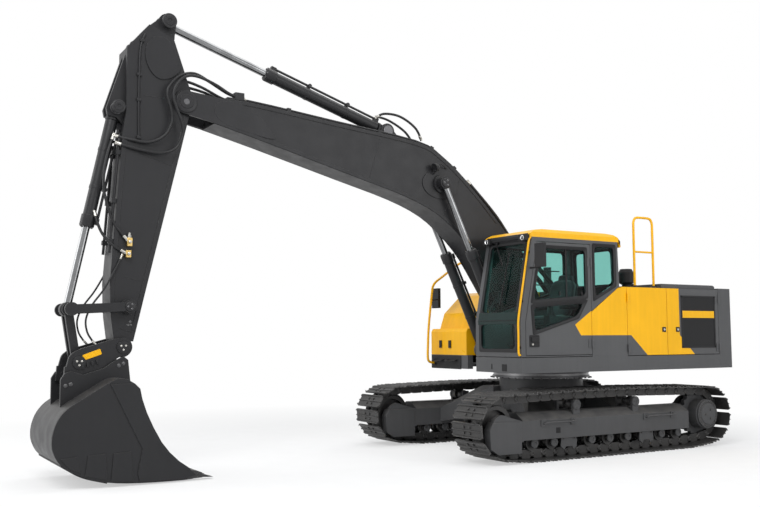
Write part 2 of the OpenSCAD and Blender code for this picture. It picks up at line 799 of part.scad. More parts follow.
// Cab shell: one side profile made hollow, with its windows and its door opening cut
cab_left_y = body_half;
cab_brow_x = cab_front_x - cab_lean;
cab_tail_x = cab_rear_x + cab_back_lean;
cab_profile = [[cab_rear_x, cab_floor_z], [cab_front_x, cab_floor_z], [cab_front_x, cab_knee_z],
  [cab_brow_x, cab_top_z], [cab_tail_x, cab_top_z]];
sill_h = 22;
door_low_z = cab_floor_z + sill_h;
door_lean_share = 0.19;
door_shares = [[0, 0], [1, 0], [1, 0.29], [1 - door_lean_share, 1], [0, 1]];
function door_point(s) = [door_rear_x + s[0] * door_w, door_low_z + s[1] * door_h];
door_outline = [for (s = door_shares) door_point(s)];
door_upper_shares = [[0.06, 0.515], [0.91, 0.462], [0.775, 0.965], [0.06, 0.965]];
door_lower_shares = [[0.207, 0.331], [0.887, 0.185], [0.912, 0.434], [0.072, 0.486]];
quarter_sill_z = 2010;
quarter_window = [[cab_tail_x + cab_wall, panel_top_z + door_gap], [door_rear_x - cab_wall, quarter_sill_z],
  [door_rear_x - cab_wall, cab_top_z - cab_wall], [cab_tail_x + cab_wall, cab_top_z - cab_wall]];
right_window_shares = [[0.1, 0.6], [0.92, 0.33], [0.83, 0.96], [0.1, 0.96]];
cab_len = cab_front_x - cab_rear_x;
cab_h = cab_top_z - cab_floor_z;
right_window = [for (s = right_window_shares)
  [cab_rear_x + s[0] * cab_len, cab_floor_z + s[1] * cab_h]];
pillar_w = 90;
screen_low_y = cab_right_y + pillar_w;
screen_high_y = cab_left_y - pillar_w;
lower_pane_low_z = 1350;
lower_pane_high_z = 1720;
upper_pane_share = [0.06, 0.95];
rear_pane_low_z = 2210;
rear_pane_high_z = 2720;
// A point on the leaning front face, at a share of its height and a depth into the wall
function screen_point(share, depth) = [cab_front_x - share * cab_lean - depth,
  cab_knee_z + share * (cab_top_z - cab_knee_z)];
function screen_outline(front, back) = [screen_point(upper_pane_share[0], front),
  screen_point(upper_pane_share[1], front), screen_point(upper_pane_share[1], back),
  screen_point(upper_pane_share[0], back)];
module cab_frame() {
  color(grey)
    difference() {
      slab(cab_right_y, cab_left_y) polygon(cab_profile);
      slab(cab_right_y + cab_wall, cab_left_y - cab_wall) polygon(inset(cab_profile, cab_wall));
      // Windscreen openings
      slab(screen_low_y, screen_high_y) polygon(screen_outline(-overrun, cab_wall + overrun));
      block([cab_front_x - cab_wall - overrun, screen_low_y, lower_pane_low_z],
        [cab_front_x + overrun, screen_high_y, lower_pane_high_z]);
      // Right side, rear and quarter windows
      slab(cab_right_y - overrun, cab_right_y + cab_wall + overrun) polygon(right_window);
      block([cab_rear_x - overrun, screen_low_y, rear_pane_low_z],
        [cab_tail_x + cab_wall + overrun, screen_high_y, rear_pane_high_z]);
      slab(cab_left_y - cab_wall - overrun, cab_left_y + overrun) polygon(quarter_window);
      // Door opening, and the recess for the fixed panel
      slab(cab_left_y - cab_wall - overrun, cab_left_y + overrun) polygon(inset(door_outline, -door_gap));
      slab(body_half - left_panel_t, cab_left_y + overrun)
        polygon([[cab_rear_x - overrun, cab_floor_z - overrun], [door_rear_x, cab_floor_z - overrun],
          [door_rear_x, quarter_low_z], [quarter_rear_x, panel_top_z - door_gap],
          [cab_rear_x - overrun, panel_top_z - door_gap]]);
    }
}

roof_over = 25;
roof_shares = [[0, 0], [1, 0], [1, 0.35], [0.95, 0.72], [0.8, 0.93], [0.5, 1], [0.2, 0.95], [0.04, 0.75],
  [0, 0.4]];
roof_side_shares = [[0, 0], [1, 0], [1, 0.5], [0.95, 0.86], [0.8, 1], [0.2, 1], [0.05, 0.86], [0, 0.5]];
module cab_roof() {
  roof_len = cab_brow_x - cab_tail_x + 2 * roof_over;
  roof_w = cab_left_y - cab_right_y;
  color(yellow)
    intersection() {
      slab(cab_right_y, cab_left_y)
        polygon([for (s = roof_shares)
          [cab_tail_x - roof_over + s[0] * roof_len, cab_top_z + s[1] * roof_h]]);
      translate([cab_tail_x - roof_over - overrun, cab_right_y, cab_top_z])
        rotate([90, 0, 90])
          linear_extrude(height = roof_len + 2 * overrun)
            polygon([for (s = roof_side_shares) [s[0] * roof_w, s[1] * roof_h]]);
    }
}

glass_depth = cab_wall / 2;
module windscreen() {
  color(glass_tint) {
    slab(screen_low_y, screen_high_y) polygon(screen_outline(glass_depth, glass_depth + glass_t));
    block([cab_front_x - glass_depth - glass_t, screen_low_y, lower_pane_low_z],
      [cab_front_x - glass_depth, screen_high_y, lower_pane_high_z]);
  }
}

module cab_side_glass() {
  color(glass_tint) {
    slab(cab_right_y + glass_depth, cab_right_y + glass_depth + glass_t) polygon(right_window);
    slab(cab_left_y - glass_depth - glass_t, cab_left_y - glass_depth) polygon(quarter_window);
  }
}

module cab_rear_glass() {
  color(glass_tint)
    difference() {
      slab(screen_low_y, screen_high_y)
        polygon([[cab_rear_x + glass_depth, cab_floor_z],
          [cab_rear_x + glass_depth + glass_t, cab_floor_z],
          [cab_tail_x + glass_depth + glass_t, cab_top_z], [cab_tail_x + glass_depth, cab_top_z]]);
      block([cab_rear_x - overrun, cab_right_y, cab_floor_z - overrun],
        [cab_front_x, cab_left_y, rear_pane_low_z]);
      block([cab_rear_x - overrun, cab_right_y, rear_pane_high_z],
        [cab_front_x, cab_left_y, cab_top_z + overrun]);
    }
}

// Seat and consoles on the cab floor
seat_y = (cab_right_y + cab_left_y) / 2;
console_w = 110;
console_gap = 64;
seat_half = (cab_left_y - cab_right_y) / 2 - cab_wall - console_gap - console_w - door_gap;
seat_x = 250;
seat_z = cab_floor_z + cab_wall;
pedestal_h = 250;
cushion_h = 140;
back_h = 640;
seat_len = 520;
back_t = 130;
back_lean = 90;
pedestal_in = 60;
module operator_seat() {
  color(dark_rubber) {
    block([seat_x + pedestal_in, seat_y - seat_half + pedestal_in, seat_z],
      [seat_x + seat_len - pedestal_in, seat_y + seat_half - pedestal_in, seat_z + pedestal_h]);
    block([seat_x, seat_y - seat_half, seat_z + pedestal_h],
      [seat_x + seat_len, seat_y + seat_half, seat_z + pedestal_h + cushion_h]);
    slab(seat_y - seat_half, seat_y + seat_half)
      polygon([[seat_x, seat_z + pedestal_h + cushion_h / 2],
        [seat_x + back_t, seat_z + pedestal_h + cushion_h / 2],
        [seat_x + back_t - back_lean, seat_z + pedestal_h + cushion_h + back_h],
        [seat_x - back_lean, seat_z + pedestal_h + cushion_h + back_h]]);
  }
}

console_len = 620;
console_h = 430;
console_front_h = 480;
lever_r = 22;
lever_h = 150;
module console() {
  near = seat_y + seat_half + door_gap;
  slab(near, near + console_w)
    polygon([[seat_x, seat_z], [seat_x + console_len, seat_z],
      [seat_x + console_len, seat_z + console_front_h], [seat_x, seat_z + console_h]]);
  translate([seat_x + console_len - console_w / 2, near + console_w / 2, seat_z + console_h])
    cylinder(r = lever_r, h = lever_h + console_front_h - console_h);
}

module control_consoles() {
  color(charcoal) {
    console();
    translate([0, 2 * seat_y, 0]) mirror([0, 1, 0]) console();
  }
}

// Work lamps on the front edge of the roof
lamp_w = 150;
lamp_d = 60;
lamp_h = 90;
lamp_inset = 20;
module cab_lamps() {
  lamp_x = cab_brow_x + roof_over;
  color(dark_rubber)
    for (y = [cab_right_y + lamp_inset, cab_left_y - lamp_inset - lamp_w])
      block([lamp_x, y, cab_top_z - lamp_h / 2], [lamp_x + lamp_d, y + lamp_w, cab_top_z + lamp_h / 3]);
}

// Mirrors: one on an arm at the cab's front pillar, one on the right-hand rail
mirror_w = 170;
mirror_h = 300;
mirror_t = 45;
mirror_arm_r = 12;
mirror_out = 190;
mirror_z = 2400;
module mirrors() {
  left_x = screen_point((mirror_z - cab_knee_z) / (cab_top_z - cab_knee_z), mirror_t)[0];
  color(dark_rubber) {
    bar([left_x, cab_left_y, mirror_z], [left_x, cab_left_y + mirror_out, mirror_z], mirror_arm_r);
    block([left_x - mirror_t / 2, cab_left_y + mirror_out - mirror_w / 2, mirror_z],
      [left_x + mirror_t / 2, cab_left_y + mirror_out + mirror_w / 2, mirror_z + mirror_h]);
    block([tank_rail_x - mirror_t / 2, tank_rail_y - hand_r - mirror_w,
        tank_rail_knee_z - 2 * hand_r - mirror_h],
      [tank_rail_x + mirror_t / 2, tank_rail_y - hand_r, tank_rail_knee_z - 2 * hand_r]);
  }
}

// Boom: a curved hollow box between its foot pin and its nose pin, seen from the side
boom_nose = foot_pin + boom_len * [cos(boom_deg), sin(boom_deg)];
boom_top_shares = [[0, 0.025], [0.1, 0.105], [0.204, 0.152], [0.32, 0.193], [0.41, 0.213], [0.486, 0.21],
  [0.686, 0.141], [0.887, 0.0706], [0.945, 0.041]];
boom_low_shares = [[0.004, -0.024], [0.12, -0.022], [0.227, -0.017], [0.3, 0.016], [0.373, 0.04],
  [0.466, 0.04], [0.604, 0.025], [0.823, -0.0126], [0.93, -0.0229]];
curve_steps = 3;
boom_outline = concat(curve(along(foot_pin, boom_deg, boom_len, boom_low_shares), curve_steps),
  reversed(curve(along(foot_pin, boom_deg, boom_len, boom_top_shares), curve_steps)));
nose_ear_in = arm_half + 2 * side_clear;
nose_ear_extra = 8;
nose_ear_t = boom_half - nose_ear_in + nose_ear_extra;
nose_r = 140;
nose_root_share = [[0.9, 0.06], [0.9, -0.019]];
lift_rod_share = [[0.39, 0.152]];
crowd_base_share = [[0.5575, 0.2027]];
lift_rod_pin = along(foot_pin, boom_deg, boom_len, lift_rod_share)[0];
crowd_base = along(foot_pin, boom_deg, boom_len, crowd_base_share)[0];
crowd_ear_in = 51;
crowd_ear_t = 40;
crowd_ear_r = 100;
crowd_root_shares = [[0.49, 0.19], [0.62, 0.145]];
lift_boss_r = 120;
lift_boss_out = lift_y - lift_eye_half - side_clear;
module boom() {
  nose_roots = along(foot_pin, boom_deg, boom_len, nose_root_share);
  crowd_roots = along(foot_pin, boom_deg, boom_len, crowd_root_shares);
  color(charcoal)
    difference() {
      union() {
        difference() {
          slab(-boom_half, boom_half) polygon(boom_outline);
          slab(-boom_half + boom_side_t, boom_half - boom_side_t)
            polygon(inset(boom_outline, boom_plate_t));
        }
        bar_y(foot_pin, foot_boss_r, -boom_half, boom_half);
        both_sides() {
          slab(nose_ear_in, nose_ear_in + nose_ear_t) {
            polygon([nose_roots[1], boom_nose + nose_r * [sin(boom_deg), -cos(boom_deg)],
              boom_nose - nose_r * [sin(boom_deg), -cos(boom_deg)], nose_roots[0]]);
            translate(boom_nose) circle(r = nose_r);
          }
          slab(crowd_ear_in, crowd_ear_in + crowd_ear_t) {
            polygon([crowd_roots[0], crowd_roots[1], crowd_base + [crowd_ear_r, 0],
              crowd_base - [crowd_ear_r, 0]]);
            translate(crowd_base) circle(r = crowd_ear_r);
          }
          bar_y(lift_rod_pin, lift_boss_r, boom_half - boom_side_t, lift_boss_out);
        }
      }
      bar_y(foot_pin, boom_pin_r + pin_clear, -boom_half - overrun, boom_half + overrun);
      bar_y(boom_nose, boom_pin_r, -body_half, body_half);
      bar_y(crowd_base, arm_pin_r, -crowd_ear_in - 2 * crowd_ear_t, crowd_ear_in + 2 * crowd_ear_t);
    }
}

// Pins that the boom carries: the arm's pivot and the arm cylinder's base pin
module boom_pins() {
  nose_out = nose_ear_in + nose_ear_t;
  crowd_out = crowd_ear_in + crowd_ear_t;
  color(charcoal) {
    bar_y(boom_nose, boom_pin_r, -nose_out - cap_t, nose_out + cap_t);
    bar_y(crowd_base, arm_pin_r, -crowd_out - cap_t, crowd_out + cap_t);
    both_sides() {
      bar_y(boom_nose, cap_r, nose_out, nose_out + cap_t);
      bar_y(crowd_base, cap_r, crowd_out, crowd_out + cap_t);
    }
  }
}

// A pipe that follows points of a side outline at one distance from the middle plane
pipe_sides = 12;
module side_pipe(pts, y, r) {
  last = len(pts) - 1;
  ring = [for (k = [0 : pipe_sides - 1]) 360 * k / pipe_sides];
  points = [for (i = [0 : last], a = ring)
    let (way = left_of(unit(pts[min(i + 1, last)] - pts[max(i - 1, 0)])))
    [pts[i][0] + r * cos(a) * way[0], y + r * sin(a), pts[i][1] + r * cos(a) * way[1]]];
  sides = [for (i = [0 : last - 1], k = [0 : pipe_sides - 1])
    let (next = (k + 1) % pipe_sides)
    [i * pipe_sides + k, i * pipe_sides + next, (i + 1) * pipe_sides + next, (i + 1) * pipe_sides + k]];
  ends = [[for (k = [pipe_sides - 1 : -1 : 0]) k],
    [for (k = [0 : pipe_sides - 1]) last * pipe_sides + k]];
  polyhedron(points = points, faces = concat(sides, ends));
}

// A clip that seats on a plate's edge and grips the pipe above it
clip_len = 50;
clip_wall = 8;
pipe_r = 16;
pipe_gap = 12;
module pipe_clip(from, to, share, y) {
  way = unit(to - from);
  seat = from + share * (to - from) + seat_clear * left_of(way);
  rise = (pipe_gap + 2 * pipe_r + clip_wall) * left_of(way);
  slab(y - pipe_r - clip_wall, y + pipe_r + clip_wall)
    polygon([seat - clip_len / 2 * way, seat + clip_len / 2 * way,
      seat + clip_len / 2 * way + rise, seat - clip_len / 2 * way + rise]);
}

// Steel pipes along the top of the boom, on both sides of the arm cylinder
pipe_y = 150;
pipe_first = 3;
pipe_last = 7;
clip_each = 3;
boom_top = curve(along(foot_pin, boom_deg, boom_len, boom_top_shares), curve_steps);
module boom_pipes() {
  edge = [for (i = [pipe_first * curve_steps : pipe_last * curve_steps]) boom_top[i]];
  color(charcoal)
    for (y = [-pipe_y, pipe_y]) {
      side_pipe(open_inset(edge, pipe_gap + pipe_r), y, pipe_r);
      for (i = [1 : clip_each : len(edge) - 2]) pipe_clip(edge[i], edge[i + 1], 1 / 2, y);
    }
}

// Arm: a tapered hollow box between its pivot and its tip pin, seen from the side
arm_turn = -arm_deg;
arm_tip = boom_nose + arm_len * [cos(arm_turn), sin(arm_turn)];
// Shares along the arm and forward of its pins' line
arm_shares = [[-0.233, 0.107], [-0.12, 0.033], [-0.05, -0.012], [0.055, -0.03], [0.19, -0.031],
  [0.75, -0.034], [0.97, -0.036], [0.985, 0.036], [0.9, 0.07], [0.778, 0.106], [0.21, 0.203], [0.11, 0.215],
  [-0.13, 0.274], [-0.253, 0.215]];
arm_outline = along(boom_nose, arm_turn, arm_len, arm_shares);
crowd_rod_share = [[-0.2997, 0.1424]];
curl_base_share = [[0.1107, 0.2475]];
rocker_share = [[0.8472, 0.0166]];
crowd_rod_pin = along(boom_nose, arm_turn, arm_len, crowd_rod_share)[0];
curl_base = along(boom_nose, arm_turn, arm_len, curl_base_share)[0];
rocker_pivot = along(boom_nose, arm_turn, arm_len, rocker_share)[0];
arm_hub_r = 135;
arm_tip_r = 112;
arm_hub_half = nose_ear_in - side_clear;
crown_in = 51;
crown_t = 40;
crown_r = 105;
crown_root_shares = [[-0.16, 0.09], [-0.16, 0.22]];
curl_ear_in = 51;
curl_ear_t = 36;
curl_ear_r = 92;
curl_root_shares = [[-0.03, 0.235], [0.17, 0.2]];
rocker_boss_r = 85;
module arm() {
  crown_roots = along(boom_nose, arm_turn, arm_len, crown_root_shares);
  curl_roots = along(boom_nose, arm_turn, arm_len, curl_root_shares);
  crown_way = unit(crown_roots[1] - crown_roots[0]);
  color(charcoal)
    difference() {
      union() {
        difference() {
          slab(-arm_half, arm_half) polygon(arm_outline);
          slab(-arm_half + arm_side_t, arm_half - arm_side_t)
            polygon(inset(arm_outline, arm_plate_t));
        }
        bar_y(boom_nose, arm_hub_r, -arm_hub_half, arm_hub_half);
        bar_y(arm_tip, arm_tip_r, -arm_half, arm_half);
        bar_y(rocker_pivot, rocker_boss_r, -link_boss_out, link_boss_out);
        both_sides() {
          slab(crown_in, crown_in + crown_t) {
            polygon([crown_roots[0], crown_roots[1], crowd_rod_pin + crown_r * crown_way,
              crowd_rod_pin - crown_r * crown_way]);
            translate(crowd_rod_pin) circle(r = crown_r);
          }
          slab(curl_ear_in, curl_ear_in + curl_ear_t) {
            polygon([curl_roots[1], curl_base + [0, -curl_ear_r], curl_base + [0, curl_ear_r],
              curl_roots[0]]);
            translate(curl_base) circle(r = curl_ear_r);
          }
        }
      }
      // Room for the arm cylinder's rod eye between the crown's ears
      bar_y(crowd_rod_pin, crown_r + crown_t, -crown_in, crown_in);
      bar_y(boom_nose, boom_pin_r + pin_clear, -boom_half, boom_half);
      bar_y(arm_tip, arm_pin_r + pin_clear, -boom_half, boom_half);
      bar_y(curl_base, arm_pin_r, -boom_half, boom_half);
      bar_y(rocker_pivot, arm_pin_r, -rocker_out, rocker_out);
    }
}

// Side faces of the coupler's plates, and of the rockers outside the coupler's pin caps
coupler_in = arm_half + side_clear;
coupler_t = 40;
coupler_out = coupler_in + coupler_t;
rocker_in = coupler_out + cap_t + side_clear;
rocker_t = 36;
rocker_out = rocker_in + rocker_t;
link_boss_out = rocker_in - side_clear;

// Pins that the arm carries: the bucket cylinder's base and the rocker's pivot
module arm_pins() {
  curl_out = curl_ear_in + curl_ear_t;
  color(charcoal) {
    bar_y(curl_base, arm_pin_r, -curl_out - cap_t, curl_out + cap_t);
    bar_y(rocker_pivot, arm_pin_r, -rocker_out - side_clear, rocker_out + side_clear);
    both_sides() bar_y(curl_base, cap_r, curl_out, curl_out + cap_t);
  }
}

// Steel pipes down both edges of the arm's front plate
arm_front_shares = [[0.21, 0.203], [0.778, 0.106]];
arm_pipe_shares = [0.05, 0.42, 0.8];
arm_clip_shares = [0.12, 0.45, 0.72];
arm_pipe_y = 130;
module arm_pipes() {
  edge = along(boom_nose, arm_turn, arm_len, arm_front_shares);
  line = [for (s = arm_pipe_shares) edge[0] + s * (edge[1] - edge[0])];
  color(charcoal)
    for (y = [-arm_pipe_y, arm_pipe_y]) {
      side_pipe(open_inset(line, pipe_gap + pipe_r), y, pipe_r);
      for (s = arm_clip_shares) pipe_clip(edge[0], edge[1], s, y);
    }
}

// Cylinder parts, drawn along +X from the base pin
gland_len = 90;
gland_extra = 9;
base_wall = 12;
module barrel(length, r, rod_r, eye_half, pin_r) {
  difference() {
    union() {
      rotate([0, 90, 0]) cylinder(r = r, h = length);
      translate([length - gland_len, 0, 0])
        rotate([0, 90, 0]) cylinder(r = r + gland_extra, h = gland_len);
      translate([0, -eye_half, 0])
        rotate([-90, 0, 0]) cylinder(r = r + gland_extra, h = 2 * eye_half);
    }
    // The base is cut flat beside the eye
    for (side = [0, 1])
      mirror([0, side, 0])
        translate([-2 * r, eye_half, -2 * r]) cube([4 * r, 2 * r, 4 * r]);
    rotate([90, 0, 0]) cylinder(r = pin_r + pin_clear, h = 4 * r, center = true);
    translate([r + gland_extra + base_wall, 0, 0])
      rotate([0, 90, 0]) cylinder(r = rod_r + pin_clear, h = length);
  }
}

module rod(from, to, rod_r, eye_r, eye_half) {
  translate([from, 0, 0])
    rotate([0, 90, 0]) cylinder(r = rod_r, h = to - from);
  translate([to, -eye_half, 0])
    rotate([-90, 0, 0]) cylinder(r = eye_r, h = 2 * eye_half);
}

// Places a shape drawn along +X at a pin, pointing at another pin
module aimed(from, to, y) {
  translate([from[0], y, from[1]])
    rotate([0, -heading(from, to), 0])
      children();
}

// Length of each rod inside its barrel
lift_eye_r = 78;
lift_rod_in = 525;
crowd_rod_in = 650;
curl_rod_in = 720;
module boom_barrels() {
  color(charcoal)
    for (side = [-1, 1])
      aimed(lift_base, lift_rod_pin, side * lift_y)
        barrel(lift_barrel_len, lift_r, lift_rod_r, lift_eye_half, boom_pin_r);
}

module boom_rods() {
  length = norm(lift_rod_pin - lift_base);
  color(steel)
    for (side = [-1, 1])
      aimed(lift_base, lift_rod_pin, side * lift_y)
        rod(lift_barrel_len - lift_rod_in, length, lift_rod_r, lift_eye_r, lift_eye_half);
}

crowd_eye_half = 45;
crowd_eye_r = 85;
module arm_barrel() {
  color(charcoal)
    aimed(crowd_base, crowd_rod_pin, 0)
      barrel(crowd_barrel_len, crowd_r, crowd_rod_r, crowd_eye_half, arm_pin_r);
}

module arm_rod() {
  length = norm(crowd_rod_pin - crowd_base);
  color(steel)
    aimed(crowd_base, crowd_rod_pin, 0)
      rod(crowd_barrel_len - crowd_rod_in, length, crowd_rod_r, crowd_eye_r, crowd_eye_half);
}

// Bucket linkage: rockers on the arm, an H-shaped link to the coupler
rocker_len = 621;
rocker_deg = -3;
link_pin = rocker_pivot + rocker_len * [cos(rocker_deg), sin(rocker_deg)];
coupler_pitch = 492;
coupler_deg = -19;
link_low = arm_tip + coupler_pitch * [cos(coupler_deg), sin(coupler_deg)];
curl_eye_half = 45;
curl_eye_r = 75;
module bucket_barrel() {
  color(charcoal)
    aimed(curl_base, link_pin, 0)
      barrel(curl_barrel_len, curl_r, curl_rod_r, curl_eye_half, arm_pin_r);
}

module bucket_rod() {
  length = norm(link_pin - curl_base);
  color(steel)
    aimed(curl_base, link_pin, 0)
      rod(curl_barrel_len - curl_rod_in, length, curl_rod_r, curl_eye_r, curl_eye_half);
}

rocker_end_r = 72;
rocker_bar_half = 48;
module rocker_links() {
  way = left_of(unit(link_pin - rocker_pivot));
  color(charcoal)
    both_sides()
      difference() {
        slab(rocker_in, rocker_out) {
          translate(rocker_pivot) circle(r = rocker_end_r);
          translate(link_pin) circle(r = rocker_end_r);
          polygon([rocker_pivot - rocker_bar_half * way, link_pin - rocker_bar_half * way,
            link_pin + rocker_bar_half * way, rocker_pivot + rocker_bar_half * way]);
        }
        bar_y(rocker_pivot, arm_pin_r + pin_clear, rocker_in - overrun, rocker_out + overrun);
      }
}

// The link's upper ears stand on both sides of the rod's eye, its lower bar lies between the coupler's plates
link_in = curl_eye_half + side_clear;
link_t = 50;
link_end_r = 66;
link_low_r = 45;
link_low_half = coupler_in - side_clear;
link_bar_half = 44;
link_web_share = [0.55, 0.85];
link_web_t = 40;
module h_link() {
  way = left_of(unit(link_low - link_pin));
  span = link_low - link_pin;
  web = [link_pin + link_web_share[0] * span, link_pin + link_web_share[1] * span];
  color(charcoal)
    union() {
      both_sides() {
        slab(link_in, link_in + link_t) {
          translate(link_pin) circle(r = link_end_r);
          polygon([link_pin - link_bar_half * way, link_low - link_bar_half * way,
            link_low + link_bar_half * way, link_pin + link_bar_half * way]);
        }
        bar_y(link_pin, arm_pin_r, link_in, link_boss_out);
      }
      bar_y(link_low, link_low_r, -link_low_half, link_low_half);
      slab(-link_in, link_in)
        polygon([web[0] - link_web_t / 2 * way, web[1] - link_web_t / 2 * way,
          web[1] + link_web_t / 2 * way, web[0] + link_web_t / 2 * way]);
    }
}

// Quick coupler: two side plates with the arm's pin, caps at the link's pin and a cross beam
coupler_r = 100;
coupler_foot_shares = [[0.06, -0.11], [0.155, -0.152], [0.24, -0.17], [0.365, -0.215], [0.36, -0.12]];
hook_shares = [[0.075, -0.125], [0.32, -0.175]];
beam_shares = [[0.1, -0.08], [0.2, -0.1], [0.2, -0.15], [0.11, -0.125]];
hook_pin_r = 38;
function from_tip(shares) = [for (s = shares) arm_tip + bucket_reach * s];
hooks = from_tip(hook_shares);
module quick_coupler() {
  feet = from_tip(coupler_foot_shares);
  color(charcoal) {
    difference() {
      union() {
        both_sides()
          slab(coupler_in, coupler_out) {
            polygon(concat([arm_tip], feet, [link_low]));
            translate(arm_tip) circle(r = coupler_r);
            translate(link_low) circle(r = coupler_r);
          }
        slab(-coupler_in, coupler_in) polygon(from_tip(beam_shares));
        bar_y(arm_tip, arm_pin_r, -coupler_out - cap_t, coupler_out + cap_t);
      }
      for (p = hooks) bar_y(p, hook_pin_r, -body_half, body_half);
    }
    both_sides() {
      bar_y(arm_tip, cap_r, coupler_out, coupler_out + cap_t);
      bar_y(link_low, cap_r, coupler_out, coupler_out + cap_t);
    }
  }
}

// Bucket: a curved shell closed by two side plates, ears with pins for the coupler. The front pin is
// in two halves, which leave room for the link
bucket_shares = [[-0.44, -0.828], [-0.343, -0.838], [-0.058, -0.834], [0.1365, -0.815], [0.288, -0.77],
  [0.416, -0.6965], [0.477, -0.59], [0.477, -0.494], [0.436, -0.3765], [0.395, -0.29], [0.33, -0.23],
  [0.156, -0.205], [0.0065, -0.205]];
mouth_shares = [[-0.023, -0.25], [-0.07, -0.363], [-0.139, -0.5465], [-0.239, -0.67], [-0.358, -0.765]];
bucket_steps = 2;
bucket_back = curve(from_tip(bucket_shares), bucket_steps);
bucket_outline = concat(bucket_back, from_tip(mouth_shares));
ear_in = coupler_out + side_clear;
ear_t = 36;
ear_shares = [[-0.01, -0.215], [0.01, -0.12], [0.075, -0.085], [0.14, -0.12], [0.26, -0.16], [0.32, -0.135],
  [0.372, -0.17], [0.38, -0.27], [0.2, -0.22]];
module bucket() {
  inner = open_inset(bucket_back, bucket_t);
  color(charcoal) {
    slab(-bucket_half, bucket_half) polygon(concat(bucket_back, reversed(inner)));
    both_sides() {
      slab(bucket_half - bucket_t, bucket_half) polygon(bucket_outline);
      slab(ear_in, ear_in + ear_t) polygon(reversed(from_tip(ear_shares)));
    }
    bar_y(hooks[0], hook_pin_r, -ear_in, ear_in);
    both_sides() bar_y(hooks[1], hook_pin_r, coupler_in, ear_in);
  }
}

// Teeth: tapered points on the lip
lip_shares = [[-0.44, -0.828], [-0.44, -0.8], [-0.5385, -0.832]];
tooth_w = 90;
module bucket_teeth() {
  pitch = (2 * bucket_half - tooth_w) / (tooth_count - 1);
  color(steel)
    for (i = [0 : tooth_count - 1])
      slab(-bucket_half + i * pitch, -bucket_half + i * pitch + tooth_w)
        polygon(reversed(from_tip(lip_shares)));
}

// Hinges: round knuckles, each on a flat leaf, at the edge that a door or lid turns on
hinge_r = 14;
hinge_len = 110;
hinge_gap = 1;
leaf_w = 60;
leaf_t = 8;
hinge_shares = [0.1, 0.84];
module hinge() {
  translate([0, 0, hinge_r + hinge_gap])
    rotate([90, 0, 0])
      cylinder(r = hinge_r, h = hinge_len, center = true);
  block([0, -hinge_len / 2, 0], [leaf_w, hinge_len / 2, leaf_t]);
}

// The hinges of a left-hand door, whose leaves point forward or, with way -1, to the rear
module door_hinges(x, way, low_z, height) {
  for (s = hinge_shares)
    translate([x, body_half, low_z + s * height])
      mirror([way < 0 ? 1 : 0, 0, 0])
        rotate([-90, 0, 0]) hinge();
}

// Cab door with two windows; its outer face is flush with the panels
handle_w = 110;
handle_h = 50;
handle_t = 20;
handle_share = [0.88, 0.12];
door_upper = [for (s = door_upper_shares) door_point(s)];
door_lower = [for (s = door_lower_shares) door_point(s)];
module cab_door() {
  handle = door_point(handle_share);
  color(grey) {
    difference() {
      slab(cab_left_y - cab_wall, cab_left_y) polygon(door_outline);
      slab(cab_left_y - cab_wall - overrun, cab_left_y + overrun) polygon(door_upper);
      slab(cab_left_y - cab_wall - overrun, cab_left_y + overrun) polygon(door_lower);
    }
    block([handle[0] - handle_w / 2, cab_left_y, handle[1]],
      [handle[0] + handle_w / 2, cab_left_y + handle_t, handle[1] + handle_h]);
    door_hinges(door_rear_x, 1, door_low_z, door_h);
  }
}

module cab_door_glass() {
  color(glass_tint)
    slab(cab_left_y - glass_depth - glass_t, cab_left_y - glass_depth) {
      polygon(door_upper);
      polygon(door_lower);
    }
}

// Left service doors, the rear one with a grille of upright slots
door_foot_z = rail_top_z + door_gap;
module left_front_door() {
  color(yellow) {
    block([door_seam_x + door_gap / 2, skin_in, door_foot_z],
      [panel_seam_x - door_gap, body_half, panel_top_z]);
    door_hinges(panel_seam_x - door_gap, -1, door_foot_z, panel_top_z - door_foot_z);
  }
}

grille_rear_x = -2140;
grille_front_x = -1480;
grille_low_z = 1390;
grille_high_z = 2080;
slot_count = 12;
slot_share = 0.55;
module rear_door() {
  pitch = (grille_front_x - grille_rear_x) / slot_count;
  difference() {
    block([weight_x + door_gap, skin_in, door_foot_z],
      [door_seam_x - door_gap / 2, body_half, panel_top_z]);
    for (i = [0 : slot_count - 1])
      block([grille_rear_x + i * pitch, skin_in - overrun, grille_low_z],
        [grille_rear_x + (i + slot_share) * pitch, body_half + overrun, grille_high_z]);
  }
  door_hinges(weight_x + door_gap, 1, door_foot_z, panel_top_z - door_foot_z);
}

module left_rear_door() {
  color(grey) rear_door();
}

module right_rear_door() {
  color(grey) mirror([0, 1, 0]) rear_door();
}

// Engine hood: a raised lid hinged at its front edge
hood_h = 60;
hood_slope = 40;
hood_wall = 10;
hood_hinge_y = 700;
module engine_hood() {
  hood_low = panel_top_z + door_gap / 2;
  hood_rear = weight_x + door_gap;
  hood_front = hood_front_x - wall_plate_t - door_gap;
  color(grey) {
    difference() {
      slab(-skin_in + door_gap, skin_in - door_gap)
        polygon([[hood_rear, hood_low], [hood_front, hood_low], [hood_front, hood_low + hood_h],
          [hood_rear + hood_slope, hood_low + hood_h], [hood_rear, hood_low + hood_slope]]);
      // The lid is open underneath
      block([hood_rear + hood_slope, -skin_in + door_gap + hood_wall, hood_low - overrun],
        [hood_front - hood_wall, skin_in - door_gap - hood_wall, hood_low + hood_h - hood_wall]);
    }
    for (y = [-hood_hinge_y, hood_hinge_y])
      translate([hood_front, y, hood_low + hood_h])
        mirror([1, 0, 0]) hinge();
  }
}

